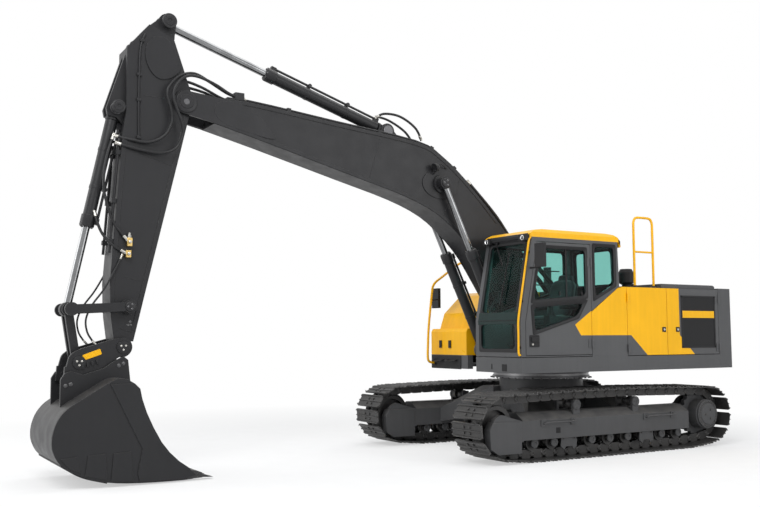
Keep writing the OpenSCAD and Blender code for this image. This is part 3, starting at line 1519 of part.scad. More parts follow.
centre_frame();
track_frames();
drive_sprockets();
front_idlers();
bottom_rollers();
top_rollers();
track_shoes_left();
track_shoes_right();
track_chains();
swing_bearing();
main_frame();
frame_pins();
counterweight();
engine_block();
body_frame();
left_side_panel();
right_tank();
right_side_panel();
handrails();
pre_cleaner();
exhaust_stack();
cab_frame();
cab_roof();
windscreen();
cab_side_glass();
cab_rear_glass();
operator_seat();
control_consoles();
cab_lamps();
mirrors();
boom();
boom_pins();
boom_pipes();
arm();
arm_pins();
arm_pipes();
boom_barrels();
boom_rods();
arm_barrel();
arm_rod();
bucket_barrel();
bucket_rod();
rocker_links();
h_link();
quick_coupler();
bucket();
bucket_teeth();
cab_door();
cab_door_glass();
left_front_door();
left_rear_door();
right_rear_door();
engine_hood();
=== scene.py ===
"""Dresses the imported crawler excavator: materials, small pieces, light, floor and camera.

Lengths are in metres in the model's own frame: +X forward, +Y to the cab side, +Z up.
"""

import json
import math

import bmesh
import bpy
from mathutils import Matrix, Vector


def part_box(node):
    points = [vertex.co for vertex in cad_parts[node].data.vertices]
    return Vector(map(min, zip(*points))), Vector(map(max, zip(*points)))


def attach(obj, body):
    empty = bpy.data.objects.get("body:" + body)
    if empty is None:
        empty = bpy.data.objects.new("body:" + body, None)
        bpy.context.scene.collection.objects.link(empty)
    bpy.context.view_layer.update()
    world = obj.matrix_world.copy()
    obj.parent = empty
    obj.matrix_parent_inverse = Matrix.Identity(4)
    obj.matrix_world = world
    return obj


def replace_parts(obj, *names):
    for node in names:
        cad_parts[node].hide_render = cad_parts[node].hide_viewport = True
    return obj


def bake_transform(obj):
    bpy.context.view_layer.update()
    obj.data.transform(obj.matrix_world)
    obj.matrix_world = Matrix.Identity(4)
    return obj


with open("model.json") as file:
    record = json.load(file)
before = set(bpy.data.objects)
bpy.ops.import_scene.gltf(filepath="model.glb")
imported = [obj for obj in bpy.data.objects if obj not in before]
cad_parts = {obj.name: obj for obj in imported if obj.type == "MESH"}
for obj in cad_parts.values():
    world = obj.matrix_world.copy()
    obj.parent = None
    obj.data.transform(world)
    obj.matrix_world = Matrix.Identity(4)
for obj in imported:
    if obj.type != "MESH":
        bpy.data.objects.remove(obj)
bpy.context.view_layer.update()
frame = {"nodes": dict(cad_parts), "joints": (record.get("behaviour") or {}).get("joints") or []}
NODES = frame["nodes"]
PIN = {j["name"]: Vector(j["pos_m"]) for j in frame["joints"] if "pos_m" in j}
UP = Vector((0, 0, 1))
LEFT = Vector((0, 1, 0))
FORWARD = Vector((1, 0, 0))


# Camera: the photograph's viewpoint
CAMERA_AT = Vector((8.8832, 10.3288, 1.5557))
CAMERA_YAW = -2.1106
CAMERA_PITCH = 0.0885
CAMERA_ROLL = 0.0033
CAMERA_LENS = 43.75
SENSOR = 36


def make_camera():
    data = bpy.data.cameras.new("photo_camera")
    data.lens = CAMERA_LENS
    data.sensor_width = SENSOR
    data.clip_end = 400
    camera = bpy.data.objects.new("photo_camera", data)
    bpy.context.scene.collection.objects.link(camera)
    look = Vector((math.cos(CAMERA_YAW) * math.cos(CAMERA_PITCH),
                   math.sin(CAMERA_YAW) * math.cos(CAMERA_PITCH), math.sin(CAMERA_PITCH)))
    right = look.cross(UP).normalized()
    turn = Matrix.Rotation(CAMERA_ROLL, 4, look)
    right = turn @ right
    up = right.cross(look)
    camera.matrix_world = Matrix.Translation(CAMERA_AT) @ Matrix((right, up, -look)).transposed().to_4x4()
    bpy.context.scene.camera = camera


# Shader node helpers
def feed(tree, made, inputs):
    """Gives a node its inputs: a value is a socket to link or a constant to set."""
    for key, value in inputs.items():
        if isinstance(value, bpy.types.NodeSocket):
            tree.links.new(value, made.inputs[key])
        else:
            made.inputs[key].default_value = value


def node(tree, kind, inputs=None, **settings):
    """Adds a shader node with its settings and inputs."""
    made = tree.nodes.new("ShaderNode" + kind)
    for name, value in settings.items():
        setattr(made, name, value)
    feed(tree, made, inputs or {})
    return made


def local_place(tree):
    """The shaded point in its piece's own frame."""
    return node(tree, "TexCoord").outputs["Object"]


def maths(tree, operation, a, b=0.0, clamp=False):
    return node(tree, "Math", {0: a, 1: b}, operation=operation, use_clamp=clamp).outputs[0]


def span(tree, value, low, high, to_low=0.0, to_high=1.0):
    """Maps a value from one range to another, clamped."""
    return node(tree, "MapRange", {"Value": value, "From Min": low, "From Max": high,
                                             "To Min": to_low, "To Max": to_high}).outputs[0]


# Sockets of the mix node when it mixes colours
MIX_SHARE, MIX_A, MIX_B, MIX_RESULT = 0, 6, 7, 2


def mixed(tree, share, a, b):
    """A colour between two colours."""
    made = node(tree, "Mix", {MIX_SHARE: share, MIX_A: a, MIX_B: b}, data_type="RGBA")
    return made.outputs[MIX_RESULT]


def noise(tree, at, scale, detail=4.0, roughness=0.55):
    return node(tree, "TexNoise", {"Vector": at, "Scale": scale, "Detail": detail,
                                             "Roughness": roughness}).outputs["Fac"]


def group(name, inputs, outputs):
    """A shader node group with named inputs (label, kind, value) and outputs (label, kind)."""
    tree = bpy.data.node_groups.new(name, "ShaderNodeTree")
    for label, kind, value in inputs:
        tree.interface.new_socket(label, in_out="INPUT", socket_type=kind).default_value = value
    for label, kind in outputs:
        tree.interface.new_socket(label, in_out="OUTPUT", socket_type=kind)
    start = tree.nodes.new("NodeGroupInput")
    end = tree.nodes.new("NodeGroupOutput")
    return tree, start.outputs, end.inputs


NUMBER = "NodeSocketFloat"
COLOUR = "NodeSocketColor"
NORMAL = "NodeSocketVector"
WHITE = (1, 1, 1, 1)


def make_rounded_edges():
    """Rounds every edge in the shading, and marks where the edges are."""
    tree, given, made = group("rounded_edges", [("Radius", NUMBER, 0.004)],
                              [("Normal", NORMAL), ("Edge", NUMBER)])
    bevel = node(tree, "Bevel", {"Radius": given["Radius"]}, samples=4)
    flat = node(tree, "NewGeometry").outputs["True Normal"]
    bend = node(tree, "VectorMath", {0: bevel.outputs[0], 1: flat}, operation="DOT_PRODUCT")
    tree.links.new(bevel.outputs[0], made["Normal"])
    tree.links.new(span(tree, bend.outputs["Value"], 0.985, 0.80), made["Edge"])
    return tree


def make_paint_skin():
    """Paint with slow colour changes, scuffed edges, dust on top faces and a fine orange-peel height."""
    tree, given, made = group(
        "paint_skin",
        [("Colour", COLOUR, WHITE), ("Roughness", NUMBER, 0.4), ("Edge", NUMBER, 0.0),
         ("Wear", NUMBER, 0.4), ("Dust", NUMBER, 0.3)],
        [("Colour", COLOUR), ("Roughness", NUMBER), ("Height", NUMBER)])
    at = local_place(tree)
    slow = noise(tree, at, 1.1, 5.0)
    patch = noise(tree, at, 7.0, 6.0)
    runs = node(tree, "Mapping", {"Vector": at, "Scale": (9.0, 9.0, 0.7)}).outputs[0]
    streak = noise(tree, runs, 1.6, 5.0)
    tone = maths(tree, "ADD", span(tree, slow, 0.3, 0.7, 0.91, 1.06),
                 span(tree, streak, 0.35, 0.75, 0.03, -0.05))
    hue = node(tree, "HueSaturation", {"Value": tone, "Color": given["Colour"]}).outputs[0]
    facing = node(tree, "SeparateXYZ",
                  {0: node(tree, "NewGeometry").outputs["Normal"]}).outputs["Z"]
    settled = maths(tree, "MULTIPLY", span(tree, facing, 0.35, 0.95), span(tree, patch, 0.35, 0.7, 0.25, 1.0))
    dust = maths(tree, "MULTIPLY", settled, given["Dust"], clamp=True)
    dusty = mixed(tree, dust, hue, (0.34, 0.32, 0.29, 1))
    grit = noise(tree, at, 38.0, 6.0, 0.7)
    worn = maths(tree, "MULTIPLY", maths(tree, "MULTIPLY", given["Edge"], span(tree, grit, 0.45, 0.62)),
                 given["Wear"], clamp=True)
    tree.links.new(mixed(tree, worn, dusty, (0.30, 0.29, 0.28, 1)), made["Colour"])
    rough = maths(tree, "ADD", given["Roughness"], span(tree, patch, 0.3, 0.7, -0.05, 0.08))
    tree.links.new(maths(tree, "ADD", rough, maths(tree, "MULTIPLY", dust, 0.35), clamp=True),
                   made["Roughness"])
    tree.links.new(maths(tree, "ADD", noise(tree, at, 260.0, 2.0), maths(tree, "MULTIPLY", patch, 0.6)),
                   made["Height"])
    return tree


def make_metal_skin():
    """Bare worked metal: patches of dry soil, edges worn bright, cast or rolled grain; the bright edges are
    also a painted highlight.
    """
    tree, given, made = group(
        "metal_skin",
        [("Colour", COLOUR, WHITE), ("Rubbed and Glint", COLOUR, WHITE), ("Soil", COLOUR, WHITE),
         ("Edge", NUMBER, 0.0), ("Soiled", NUMBER, 0.4), ("Roughness", NUMBER, 0.5)],
        [("Colour", COLOUR), ("Roughness", NUMBER), ("Height", NUMBER)])
    at = local_place(tree)
    grain = noise(tree, at, 90.0, 6.0, 0.7)
    patch = noise(tree, at, 5.0, 6.0, 0.6)
    soil = maths(tree, "MULTIPLY", span(tree, patch, 0.42, 0.68), given["Soiled"], clamp=True)
    # Edges worn bright: worn metal, and on the dark track steel also a painted highlight that makes the edges
    # glint.
    rub_and_glint = maths(tree, "MULTIPLY", given["Edge"], span(tree, grain, 0.35, 0.6), clamp=True)
    toned = node(tree, "HueSaturation", {"Value": span(tree, grain, 0.3, 0.7, 0.8, 1.2),
                                                   "Color": given["Colour"]}).outputs[0]
    soiled = mixed(tree, soil, toned, given["Soil"])
    tree.links.new(mixed(tree, rub_and_glint, soiled, given["Rubbed and Glint"]), made["Colour"])
    dull = maths(tree, "ADD", given["Roughness"], maths(tree, "MULTIPLY", soil, 0.3))
    tree.links.new(maths(tree, "SUBTRACT", dull, maths(tree, "MULTIPLY", rub_and_glint, 0.2), clamp=True),
                   made["Roughness"])
    lumps = node(tree, "TexVoronoi", {"Vector": at, "Scale": 55.0}).outputs["Distance"]
    tree.links.new(maths(tree, "ADD", grain, maths(tree, "MULTIPLY", lumps, 0.5)), made["Height"])
    return tree


def make_moulded_grain():
    """Fine leathery grain of moulded plastic and rubber, with a slow change of gloss."""
    tree, given, made = group("moulded_grain", [("Scale", NUMBER, 420.0), ("Roughness", NUMBER, 0.5)],
                              [("Tone", NUMBER), ("Roughness", NUMBER), ("Height", NUMBER)])
    at = local_place(tree)
    cells = node(tree, "TexVoronoi", {"Vector": at, "Scale": given["Scale"]}).outputs["Distance"]
    slow = noise(tree, at, 3.5, 5.0)
    tree.links.new(span(tree, slow, 0.3, 0.7, 0.82, 1.2), made["Tone"])
    tree.links.new(maths(tree, "ADD", given["Roughness"], span(tree, slow, 0.3, 0.7, -0.06, 0.1)),
                   made["Roughness"])
    tree.links.new(cells, made["Height"])
    return tree


def make_woven():
    """Two crossing rows of threads."""
    tree, given, made = group("woven", [("Scale", NUMBER, 260.0)], [("Tone", NUMBER), ("Height", NUMBER)])
    at = local_place(tree)
    rows = [node(tree, "TexWave", {"Vector": at, "Scale": given["Scale"], "Distortion": 0.6},
                 bands_direction=axis).outputs["Fac"] for axis in ("X", "Y", "Z")]
    weave = maths(tree, "MAXIMUM", maths(tree, "MAXIMUM", rows[0], rows[1]), rows[2])
    tree.links.new(span(tree, maths(tree, "MULTIPLY", weave, noise(tree, at, 30.0)), 0.2, 0.6, 0.7, 1.25),
                   made["Tone"])
    tree.links.new(weave, made["Height"])
    return tree


def make_two_tone():
    """Where the side panels are yellow: the slanting field between the cab's patch and the rear grille."""
    tree, given, made = group("two_tone", [("Low", COLOUR, WHITE), ("High", COLOUR, WHITE)],
                              [("Colour", COLOUR)])
    place = node(tree, "SeparateXYZ", {0: local_place(tree)})
    x, z = place.outputs["X"], place.outputs["Z"]
    lower_z, slant_x, slant = 1.549, -0.470, 1.12
    rear_x, rear_slant = 1.42, 1.09
    front_x, front_slant = 0.438, 0.73
    cap_z, cap_slant = 2.030, 0.64
    over = maths(tree, "SUBTRACT", z, lower_z)
    behind = maths(tree, "SUBTRACT", maths(tree, "MULTIPLY", over, slant), x)
    behind = maths(tree, "ADD", behind, slant_x)
    below = maths(tree, "MAXIMUM", maths(tree, "MULTIPLY", over, -1.0), 0.0)
    rear = maths(tree, "ADD", maths(tree, "ADD", x, rear_x), maths(tree, "MULTIPLY", below, rear_slant))
    edge = maths(tree, "ADD", maths(tree, "MULTIPLY", over, front_slant), front_x)
    front = maths(tree, "SUBTRACT", edge, x)
    inside = maths(tree, "MINIMUM", maths(tree, "MAXIMUM", over, behind), maths(tree, "MINIMUM", rear, front))
    under = maths(tree, "SUBTRACT", maths(tree, "MULTIPLY", x, -cap_slant), z)
    inside = maths(tree, "MINIMUM", inside, maths(tree, "ADD", under, cap_z))
    rim = 0.0006
    sharp = span(tree, inside, -rim, rim)
    tree.links.new(mixed(tree, sharp, given["Low"], given["High"]), made["Colour"])
    return tree


ROUNDED = make_rounded_edges()
PAINT = make_paint_skin()
METAL = make_metal_skin()
GRAIN = make_moulded_grain()
WOVEN = make_woven()
TWO_TONE = make_two_tone()


def use(tree, shared, inputs):
    """The outputs of a shared node group that is given these inputs."""
    return node(tree, "Group", inputs, node_tree=shared).outputs


def surface(name):
    """A material with its Principled shader, ready for links."""
    material = bpy.data.materials.new(name)
    material.use_nodes = True
    tree = material.node_tree
    return material, tree, tree.nodes["Principled BSDF"]


def bump(tree, shader, height, strength, distance, normal=None):
    inputs = {"Height": height, "Strength": strength, "Distance": distance}
    if normal is not None:
        inputs["Normal"] = normal
    tree.links.new(node(tree, "Bump", inputs).outputs[0], shader.inputs["Normal"])


def paint(name, colour, roughness, wear=0.35, dust=0.25, coat=0.0, radius=0.004, second=None):
    """Sprayed paint; with a second colour, the side panels' two-tone field."""
    material, tree, shader = surface(name)
    edge = use(tree, ROUNDED, {"Radius": radius})
    base = (*colour, 1)
    if second is not None:
        base = use(tree, TWO_TONE, {"Low": base, "High": (*second, 1)})["Colour"]
    skin = use(tree, PAINT, {"Colour": base, "Roughness": roughness, "Edge": edge["Edge"], "Wear": wear,
                             "Dust": dust})
    feed(tree, shader, {"Base Color": skin["Colour"], "Roughness": skin["Roughness"],
                        "Specular IOR Level": 0.22, "Coat Weight": coat, "Coat Roughness": 0.12})
    bump(tree, shader, skin["Height"], 0.12, 0.0015, edge["Normal"])
    return material


def metal(name, colour, rubbed_and_glint, soil, soiled, roughness, metallic, radius=0.003, strength=0.35):
    material, tree, shader = surface(name)
    edge = use(tree, ROUNDED, {"Radius": radius})
    skin = use(tree, METAL, {"Colour": (*colour, 1), "Rubbed and Glint": (*rubbed_and_glint, 1), "Soil": (*soil, 1),
                             "Edge": edge["Edge"], "Soiled": soiled, "Roughness": roughness})
    feed(tree, shader, {"Base Color": skin["Colour"], "Roughness": skin["Roughness"], "Metallic": metallic})
    bump(tree, shader, skin["Height"], strength, 0.002, edge["Normal"])
    return material


def moulded(name, colour, roughness, scale=420.0, strength=0.25, radius=0.003):
    material, tree, shader = surface(name)
    edge = use(tree, ROUNDED, {"Radius": radius})
    grain = use(tree, GRAIN, {"Scale": scale, "Roughness": roughness})
    tint = node(tree, "HueSaturation", {"Value": grain["Tone"], "Color": (*colour, 1)}).outputs[0]
    feed(tree, shader, {"Base Color": tint, "Roughness": grain["Roughness"], "Specular IOR Level": 0.22})
    bump(tree, shader, grain["Height"], strength, 0.0006, edge["Normal"])
    return material


def chrome(name):
    """Hard chrome with fine rubbing marks round the rod."""
    material, tree, shader = surface(name)
    at = local_place(tree)
    marks = noise(tree, at, 140.0, 5.0, 0.7)
    slow = noise(tree, at, 6.0, 4.0)
    tone = mixed(tree, span(tree, slow, 0.35, 0.7), (0.26, 0.264, 0.27, 1), (0.17, 0.173, 0.177, 1))
    feed(tree, shader, {"Base Color": tone, "Roughness": span(tree, marks, 0.3, 0.7, 0.10, 0.26),
                        "Metallic": 1.0})
    bump(tree, shader, marks, 0.04, 0.0004)
    return material


def glazing(name, tint, roughness):
    """Tinted pane with a thin, uneven film of dust; back faces and shadow rays let light straight through."""
    material, tree, shader = surface(name)
    at = local_place(tree)
    film = noise(tree, at, 4.0, 5.0)
    dusted = mixed(tree, span(tree, film, 0.35, 0.75), (*tint, 1), tuple(0.93 * c for c in tint) + (1,))
    gloss = span(tree, film, 0.3, 0.75, roughness, roughness + 0.01)
    feed(tree, shader, {"Base Color": dusted, "Roughness": gloss, "Transmission Weight": 1.0, "IOR": 1.01,
                        "Coat Weight": 0.30, "Coat Roughness": 0.03})
    one_face = tuple(math.sqrt(c) for c in tint)
    clear = node(tree, "BsdfTransparent", {"Color": (*one_face, 1)}).outputs[0]
    shade = node(tree, "LightPath").outputs["Is Shadow Ray"]
    back = node(tree, "NewGeometry").outputs["Backfacing"]
    pane = node(tree, "MixShader", {0: back, 1: shader.outputs[0], 2: clear}).outputs[0]
    both = node(tree, "MixShader", {0: shade, 1: pane, 2: clear})
    tree.links.new(both.outputs[0], tree.nodes["Material Output"].inputs["Surface"])
    return material


def cloth(name, colour):
    material, tree, shader = surface(name)
    weave = use(tree, WOVEN, {"Scale": 240.0})
    tint = node(tree, "HueSaturation", {"Value": weave["Tone"], "Color": (*colour, 1)}).outputs[0]
    feed(tree, shader, {"Base Color": tint, "Roughness": 0.92, "Sheen Weight": 0.35})
    bump(tree, shader, weave["Height"], 0.35, 0.0012)
    return material


YELLOW = (0.90, 0.46, 0.004)
GREY = (0.082, 0.083, 0.086)
CHARCOAL = (0.019, 0.019, 0.0205)
SOIL = (0.085, 0.080, 0.073)

charcoal_paint = paint("charcoal_paint", CHARCOAL, 0.42, wear=0.30, dust=0.12, coat=0.04)
grey_paint = paint("grey_paint", GREY, 0.40, wear=0.25, dust=0.16, coat=0.05)
yellow_paint = paint("yellow_paint", YELLOW, 0.32, wear=0.20, dust=0.06, coat=0.12)
panel_paint = paint("panel_paint", GREY, 0.34, wear=0.20, dust=0.10, coat=0.10, second=YELLOW)
weight_paint = paint("weight_paint", GREY, 0.46, wear=0.30, dust=0.2, radius=0.02)
frame_paint = paint("frame_paint", (0.066, 0.066, 0.068), 0.5, wear=0.4, dust=0.28)
# The track steel's bright edge colour is partly worn steel and partly a painted highlight along the edges.
track_steel = metal("track_steel", (0.040, 0.039, 0.039), (0.26, 0.255, 0.25), SOIL, 0.22, 0.46, 0.45)
wear_steel = metal("wear_steel", (0.032, 0.032, 0.034), (0.22, 0.215, 0.21), SOIL, 0.25, 0.45, 0.5)
pin_steel = metal("pin_steel", (0.10, 0.10, 0.105), (0.35, 0.35, 0.35), SOIL, 0.2, 0.38, 0.9)
ring_steel = metal("ring_steel", (0.20, 0.20, 0.205), (0.42, 0.42, 0.42), SOIL, 0.25, 0.32, 0.9, strength=0.1)
zinc = metal("zinc", (0.46, 0.45, 0.42), (0.62, 0.61, 0.58), SOIL, 0.15, 0.34, 1.0, strength=0.1)
brass = metal("brass", (0.62, 0.44, 0.16), (0.75, 0.58, 0.3), SOIL, 0.15, 0.32, 1.0, strength=0.1)
engine_metal = metal("engine_metal", (0.16, 0.16, 0.165), (0.35, 0.35, 0.35), SOIL, 0.3, 0.5, 0.6)
rod_chrome = chrome("rod_chrome")
cab_glass = glazing("cab_glass", (0.44, 0.72, 0.675), 0.0)
lens_glass = glazing("lens_glass", (0.95, 0.96, 0.97), 0.06)
black_plastic = moulded("black_plastic", (0.014, 0.014, 0.015), 0.5)
hose_rubber = moulded("hose_rubber", (0.020, 0.020, 0.021), 0.40, scale=260.0, strength=0.4, radius=0.001)
gasket_rubber = moulded("gasket_rubber", (0.009, 0.009, 0.010), 0.34, scale=600.0, strength=0.1)
grip_plate = moulded("grip_plate", (0.020, 0.020, 0.021), 0.62, scale=75.0, strength=0.8)
# Dark teal in the tinted glass's colour with the cab's shaded inside behind it: painted shade standing in for
# glass.
glass_look_painted_shade = moulded("glass_look_painted_shade", (0.006, 0.020, 0.018), 0.12, strength=0.0)
lamp_bowl = metal("lamp_bowl", (0.85, 0.85, 0.86), (0.9, 0.9, 0.9), (0.7, 0.7, 0.7), 0.1, 0.12, 1.0,
                  strength=0.05)
mirror_face = metal("mirror_face", (0.86, 0.88, 0.88), (0.9, 0.9, 0.9), (0.7, 0.7, 0.7), 0.05, 0.03, 1.0,
                    strength=0.0)
red_lens = moulded("red_lens", (0.42, 0.010, 0.008), 0.15, scale=150.0, strength=0.2)
seat_cloth = cloth("seat_cloth", (0.030, 0.030, 0.034))

NODE_MATERIALS = {
    charcoal_paint: ["boom", "boom_pipes", "arm", "arm_pipes", "boom_barrels", "arm_barrel", "bucket_barrel",
                     "rocker_links", "h_link", "quick_coupler", "bucket"],
    frame_paint: ["centre_frame", "track_frames", "drive_sprockets", "body_frame"],
    grey_paint: ["main_frame", "cab_frame", "engine_hood"],
    panel_paint: ["left_side_panel", "left_front_door", "left_rear_door", "cab_door", "right_side_panel",
                  "right_rear_door"],
    yellow_paint: ["right_tank", "handrails", "cab_roof"],
    weight_paint: ["counterweight"],
    track_steel: ["front_idlers", "bottom_rollers", "top_rollers", "track_shoes_left", "track_shoes_right",
                  "track_chains"],
    wear_steel: ["bucket_teeth"],
    pin_steel: ["frame_pins", "boom_pins", "arm_pins"],
    rod_chrome: ["boom_rods", "arm_rod", "bucket_rod"],
    ring_steel: ["swing_bearing"],
    black_plastic: ["pre_cleaner", "exhaust_stack", "control_consoles", "cab_lamps", "mirrors"],
    cab_glass: ["windscreen", "cab_side_glass", "cab_rear_glass", "cab_door_glass"],
    seat_cloth: ["operator_seat"],
    engine_metal: ["engine_block"],
}


def dress_nodes():
    for material, names in NODE_MATERIALS.items():
        for name in names:
            mesh = NODES[name].data
            mesh.materials.clear()
            mesh.materials.append(material)


# Shape building
def unit_frame(way):
    """Two directions square to a direction."""
    way = way.normalized()
    side = way.cross(UP if abs(way.z) < 0.9 else FORWARD).normalized()
    return side, side.cross(way)


def smooth_line(points, steps=8):
    """A curve through points (Catmull-Rom)."""
    pts = [Vector(p) for p in points]
    out = []
    for i in range(len(pts) - 1):
        a, b, c, d = pts[max(i - 1, 0)], pts[i], pts[i + 1], pts[min(i + 2, len(pts) - 1)]
        for k in range(steps):
            t = k / steps
            out.append((2 * b + (c - a) * t + (2 * a - 5 * b + 4 * c - d) * t * t
                        + (3 * b - a - 3 * c + d) * t ** 3) / 2)
    return out + [pts[-1]]


def pairs(points):
    return [Vector(p) for p in points]


def inset(points, wall):
    """A closed counter-clockwise outline of (u, v) pairs, moved inwards."""
    out = []
    for i, point in enumerate(points):
        before = (point - points[i - 1]).normalized()
        after = (points[(i + 1) % len(points)] - point).normalized()
        a, b = Vector((-before.y, before.x)), Vector((-after.y, after.x))
        out.append(point + (a + b) * wall / (1 + a.dot(b)))
    return out


def rounded_outline(points, radius, steps=5):
    """Replaces each corner of a closed outline by an arc-like bend."""
    out = []
    for i, point in enumerate(points):
        before, after = points[i - 1] - point, points[(i + 1) % len(points)] - point
        reach = min(radius, 0.45 * before.length, 0.45 * after.length)
        a, b = point + before.normalized() * reach, point + after.normalized() * reach
        for k in range(steps + 1):
            t = k / steps
            out.append(a * (1 - t) ** 2 + point * 2 * t * (1 - t) + b * t * t)
    return out


def as_object(name, mesh, work, material, angle):
    """Fills a mesh from worked faces and puts it in the scene; edges above the angle stay sharp."""
    bmesh.ops.recalc_face_normals(work, faces=work.faces)
    work.to_mesh(mesh)
    work.free()
    mesh.shade_smooth()
    mesh.set_sharp_from_angle(angle=math.radians(angle))
    mesh.materials.append(material)
    made = bpy.data.objects.new(name, mesh)
    bpy.context.scene.collection.objects.link(made)
    return made


class Shape:
    """Collects faces in the model's frame and makes one piece of them."""

    def __init__(self):
        self.points = []
        self.faces = []

    def add(self, points, faces):
        base = len(self.points)
        self.points += [Vector(p) for p in points]
        self.faces += [[base + i for i in f] for f in faces]

    def loft(self, rings, closed=False, caps=True):
        """Joins rings of equal length, each a closed loop of points."""
        count = len(rings[0])
        faces = []
        last = len(rings) if closed else len(rings) - 1
        for i in range(last):
            a, b = i * count, (i + 1) % len(rings) * count
            for k in range(count):
                n = (k + 1) % count
                faces.append([a + k, a + n, b + n, b + k])
        if caps and not closed:
            faces.append(list(range(count))[::-1])
            faces.append([(len(rings) - 1) * count + k for k in range(count)])
        self.add([p for ring in rings for p in ring], faces)

    def prism(self, outline, way):
        self.loft([outline, [Vector(p) + Vector(way) for p in outline]])

    def slab(self, outline, low, high):
        """A side outline of (x, z) pairs between two distances from the middle plane."""
        self.prism([Vector((x, low, z)) for x, z in outline], (0, high - low, 0))

    def block(self, low, high, cut=0.0):
        """A block with its upright edges cut by a small amount."""
        (x0, y0, z0), (x1, y1, z1) = low, high
        flat = [(x0, y0), (x1, y0), (x1, y1), (x0, y1)]
        if cut:
            flat = [(x0 + cut, y0), (x1 - cut, y0), (x1, y0 + cut), (x1, y1 - cut),
                    (x1 - cut, y1), (x0 + cut, y1), (x0, y1 - cut), (x0, y0 + cut)]
        self.prism([Vector((x, y, z0)) for x, y in flat], (0, 0, z1 - z0))

    def tube(self, line, radius, sides=10, closed=False):
        line = [Vector(p) for p in line]
        side, over = unit_frame(line[1] - line[0])
        rings = []
        for i, point in enumerate(line):
            ahead = line[(i + 1) % len(line)] if closed or i < len(line) - 1 else point
            behind = line[i - 1] if closed or i else point
            way = (ahead - behind).normalized()
            side = (side - way * side.dot(way)).normalized()
            over = way.cross(side)
            rings.append([point + radius * (math.cos(a) * side + math.sin(a) * over)
                          for a in (2 * math.pi * k / sides for k in range(sides))])
        self.loft(rings, closed)

    def lathe(self, at, way, profile, sides=24):
        """Turns (distance along, radius) pairs round a direction."""
        at, way = Vector(at), Vector(way).normalized()
        side, over = unit_frame(way)
        self.loft([[at + way * s + max(r, 1e-4) * (math.cos(a) * side + math.sin(a) * over)
                    for a in (2 * math.pi * k / sides for k in range(sides))] for s, r in profile])

    def bolt(self, at, way, size):
        """A washer and a hexagon head of a given half width."""
        self.lathe(at, way, [(0, 1.5 * size), (0.25 * size, 1.5 * size)], 14)
        self.lathe(at, way, [(0.2 * size, 1.12 * size), (0.95 * size, 1.12 * size),
                             (1.15 * size, 0.95 * size)], 6)

    def bolt_ring(self, at, way, radius, count, size, start=0.0):
        side, over = unit_frame(Vector(way))
        for k in range(count):
            a = start + 2 * math.pi * k / count
            self.bolt(Vector(at) + radius * (math.cos(a) * side + math.sin(a) * over), way, size)

    def piece(self, name, material, body, bevel=0.0, angle=35.0):
        """Makes the piece; a body of None leaves it unattached."""
        mesh = bpy.data.meshes.new(name)
        mesh.from_pydata([tuple(p) for p in self.points], [], self.faces)
        work = bmesh.new()
        work.from_mesh(mesh)
        made = as_object(name, mesh, work, material, angle)
        if bevel:
            rim = made.modifiers.new("rim", "BEVEL")
            rim.width = bevel
            rim.segments = 2
            rim.limit_method = "ANGLE"
        if body:
            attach(made, body)
        return made


# Tracks: detailed shoes and links on the same loop as the solids
CHAIN_R = 0.317
CHAIN_OUT = 0.056
SHOE_H = 0.027
END_RISE = 0.040
RUN_HALF = 1.400
TOP_ROLLERS = (0.575, -0.480)
TOP_RISE = 0.028
TOP_BRACKET_FACE = 1.351
LINKS = 49
ARC_STEPS = 24


def box_middle(name):
    low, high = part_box(name)
    return (low + high) / 2


def track_pins():
    """The chain's pins as (x, z), counter-clockwise seen from the right-hand side."""
    idler_x = box_middle("front_idlers").x
    run_z = CHAIN_OUT + SHOE_H
    axle_z = CHAIN_R + run_z + END_RISE
    top_z = axle_z + CHAIN_R + TOP_RISE
    idler, sprocket = Vector((idler_x, axle_z)), Vector((-idler_x, axle_z))

    def touch(centre, point, turn):
        way = Vector(point) - centre
        return math.atan2(way.y, way.x) + turn * math.acos(CHAIN_R / way.length)

    def arc(centre, start, end):
        return [centre + CHAIN_R * Vector((math.cos(a), math.sin(a)))
                for a in (start + (end - start) * k / ARC_STEPS for k in range(ARC_STEPS + 1))]

    line = [Vector((-RUN_HALF, run_z)), Vector((RUN_HALF, run_z))]
    line += arc(idler, touch(idler, (RUN_HALF, run_z), 1), touch(idler, (TOP_ROLLERS[0], top_z), -1))
    line += [Vector((TOP_ROLLERS[0], top_z)), Vector((TOP_ROLLERS[1], top_z))]
    line += arc(sprocket, touch(sprocket, (TOP_ROLLERS[1], top_z), 1),
                2 * math.pi + touch(sprocket, (-RUN_HALF, run_z), -1))
    line.append(line[0])
    reach = [0.0]
    for a, b in zip(line, line[1:]):
        reach.append(reach[-1] + (b - a).length)
    pins = []
    for i in range(LINKS):
        s = reach[-1] * i / LINKS
        k = max(j for j in range(len(reach)) if reach[j] <= s)
        k = min(k, len(line) - 2)
        share = (s - reach[k]) / max(reach[k + 1] - reach[k], 1e-9)
        pins.append(line[k].lerp(line[k + 1], share))
    return pins


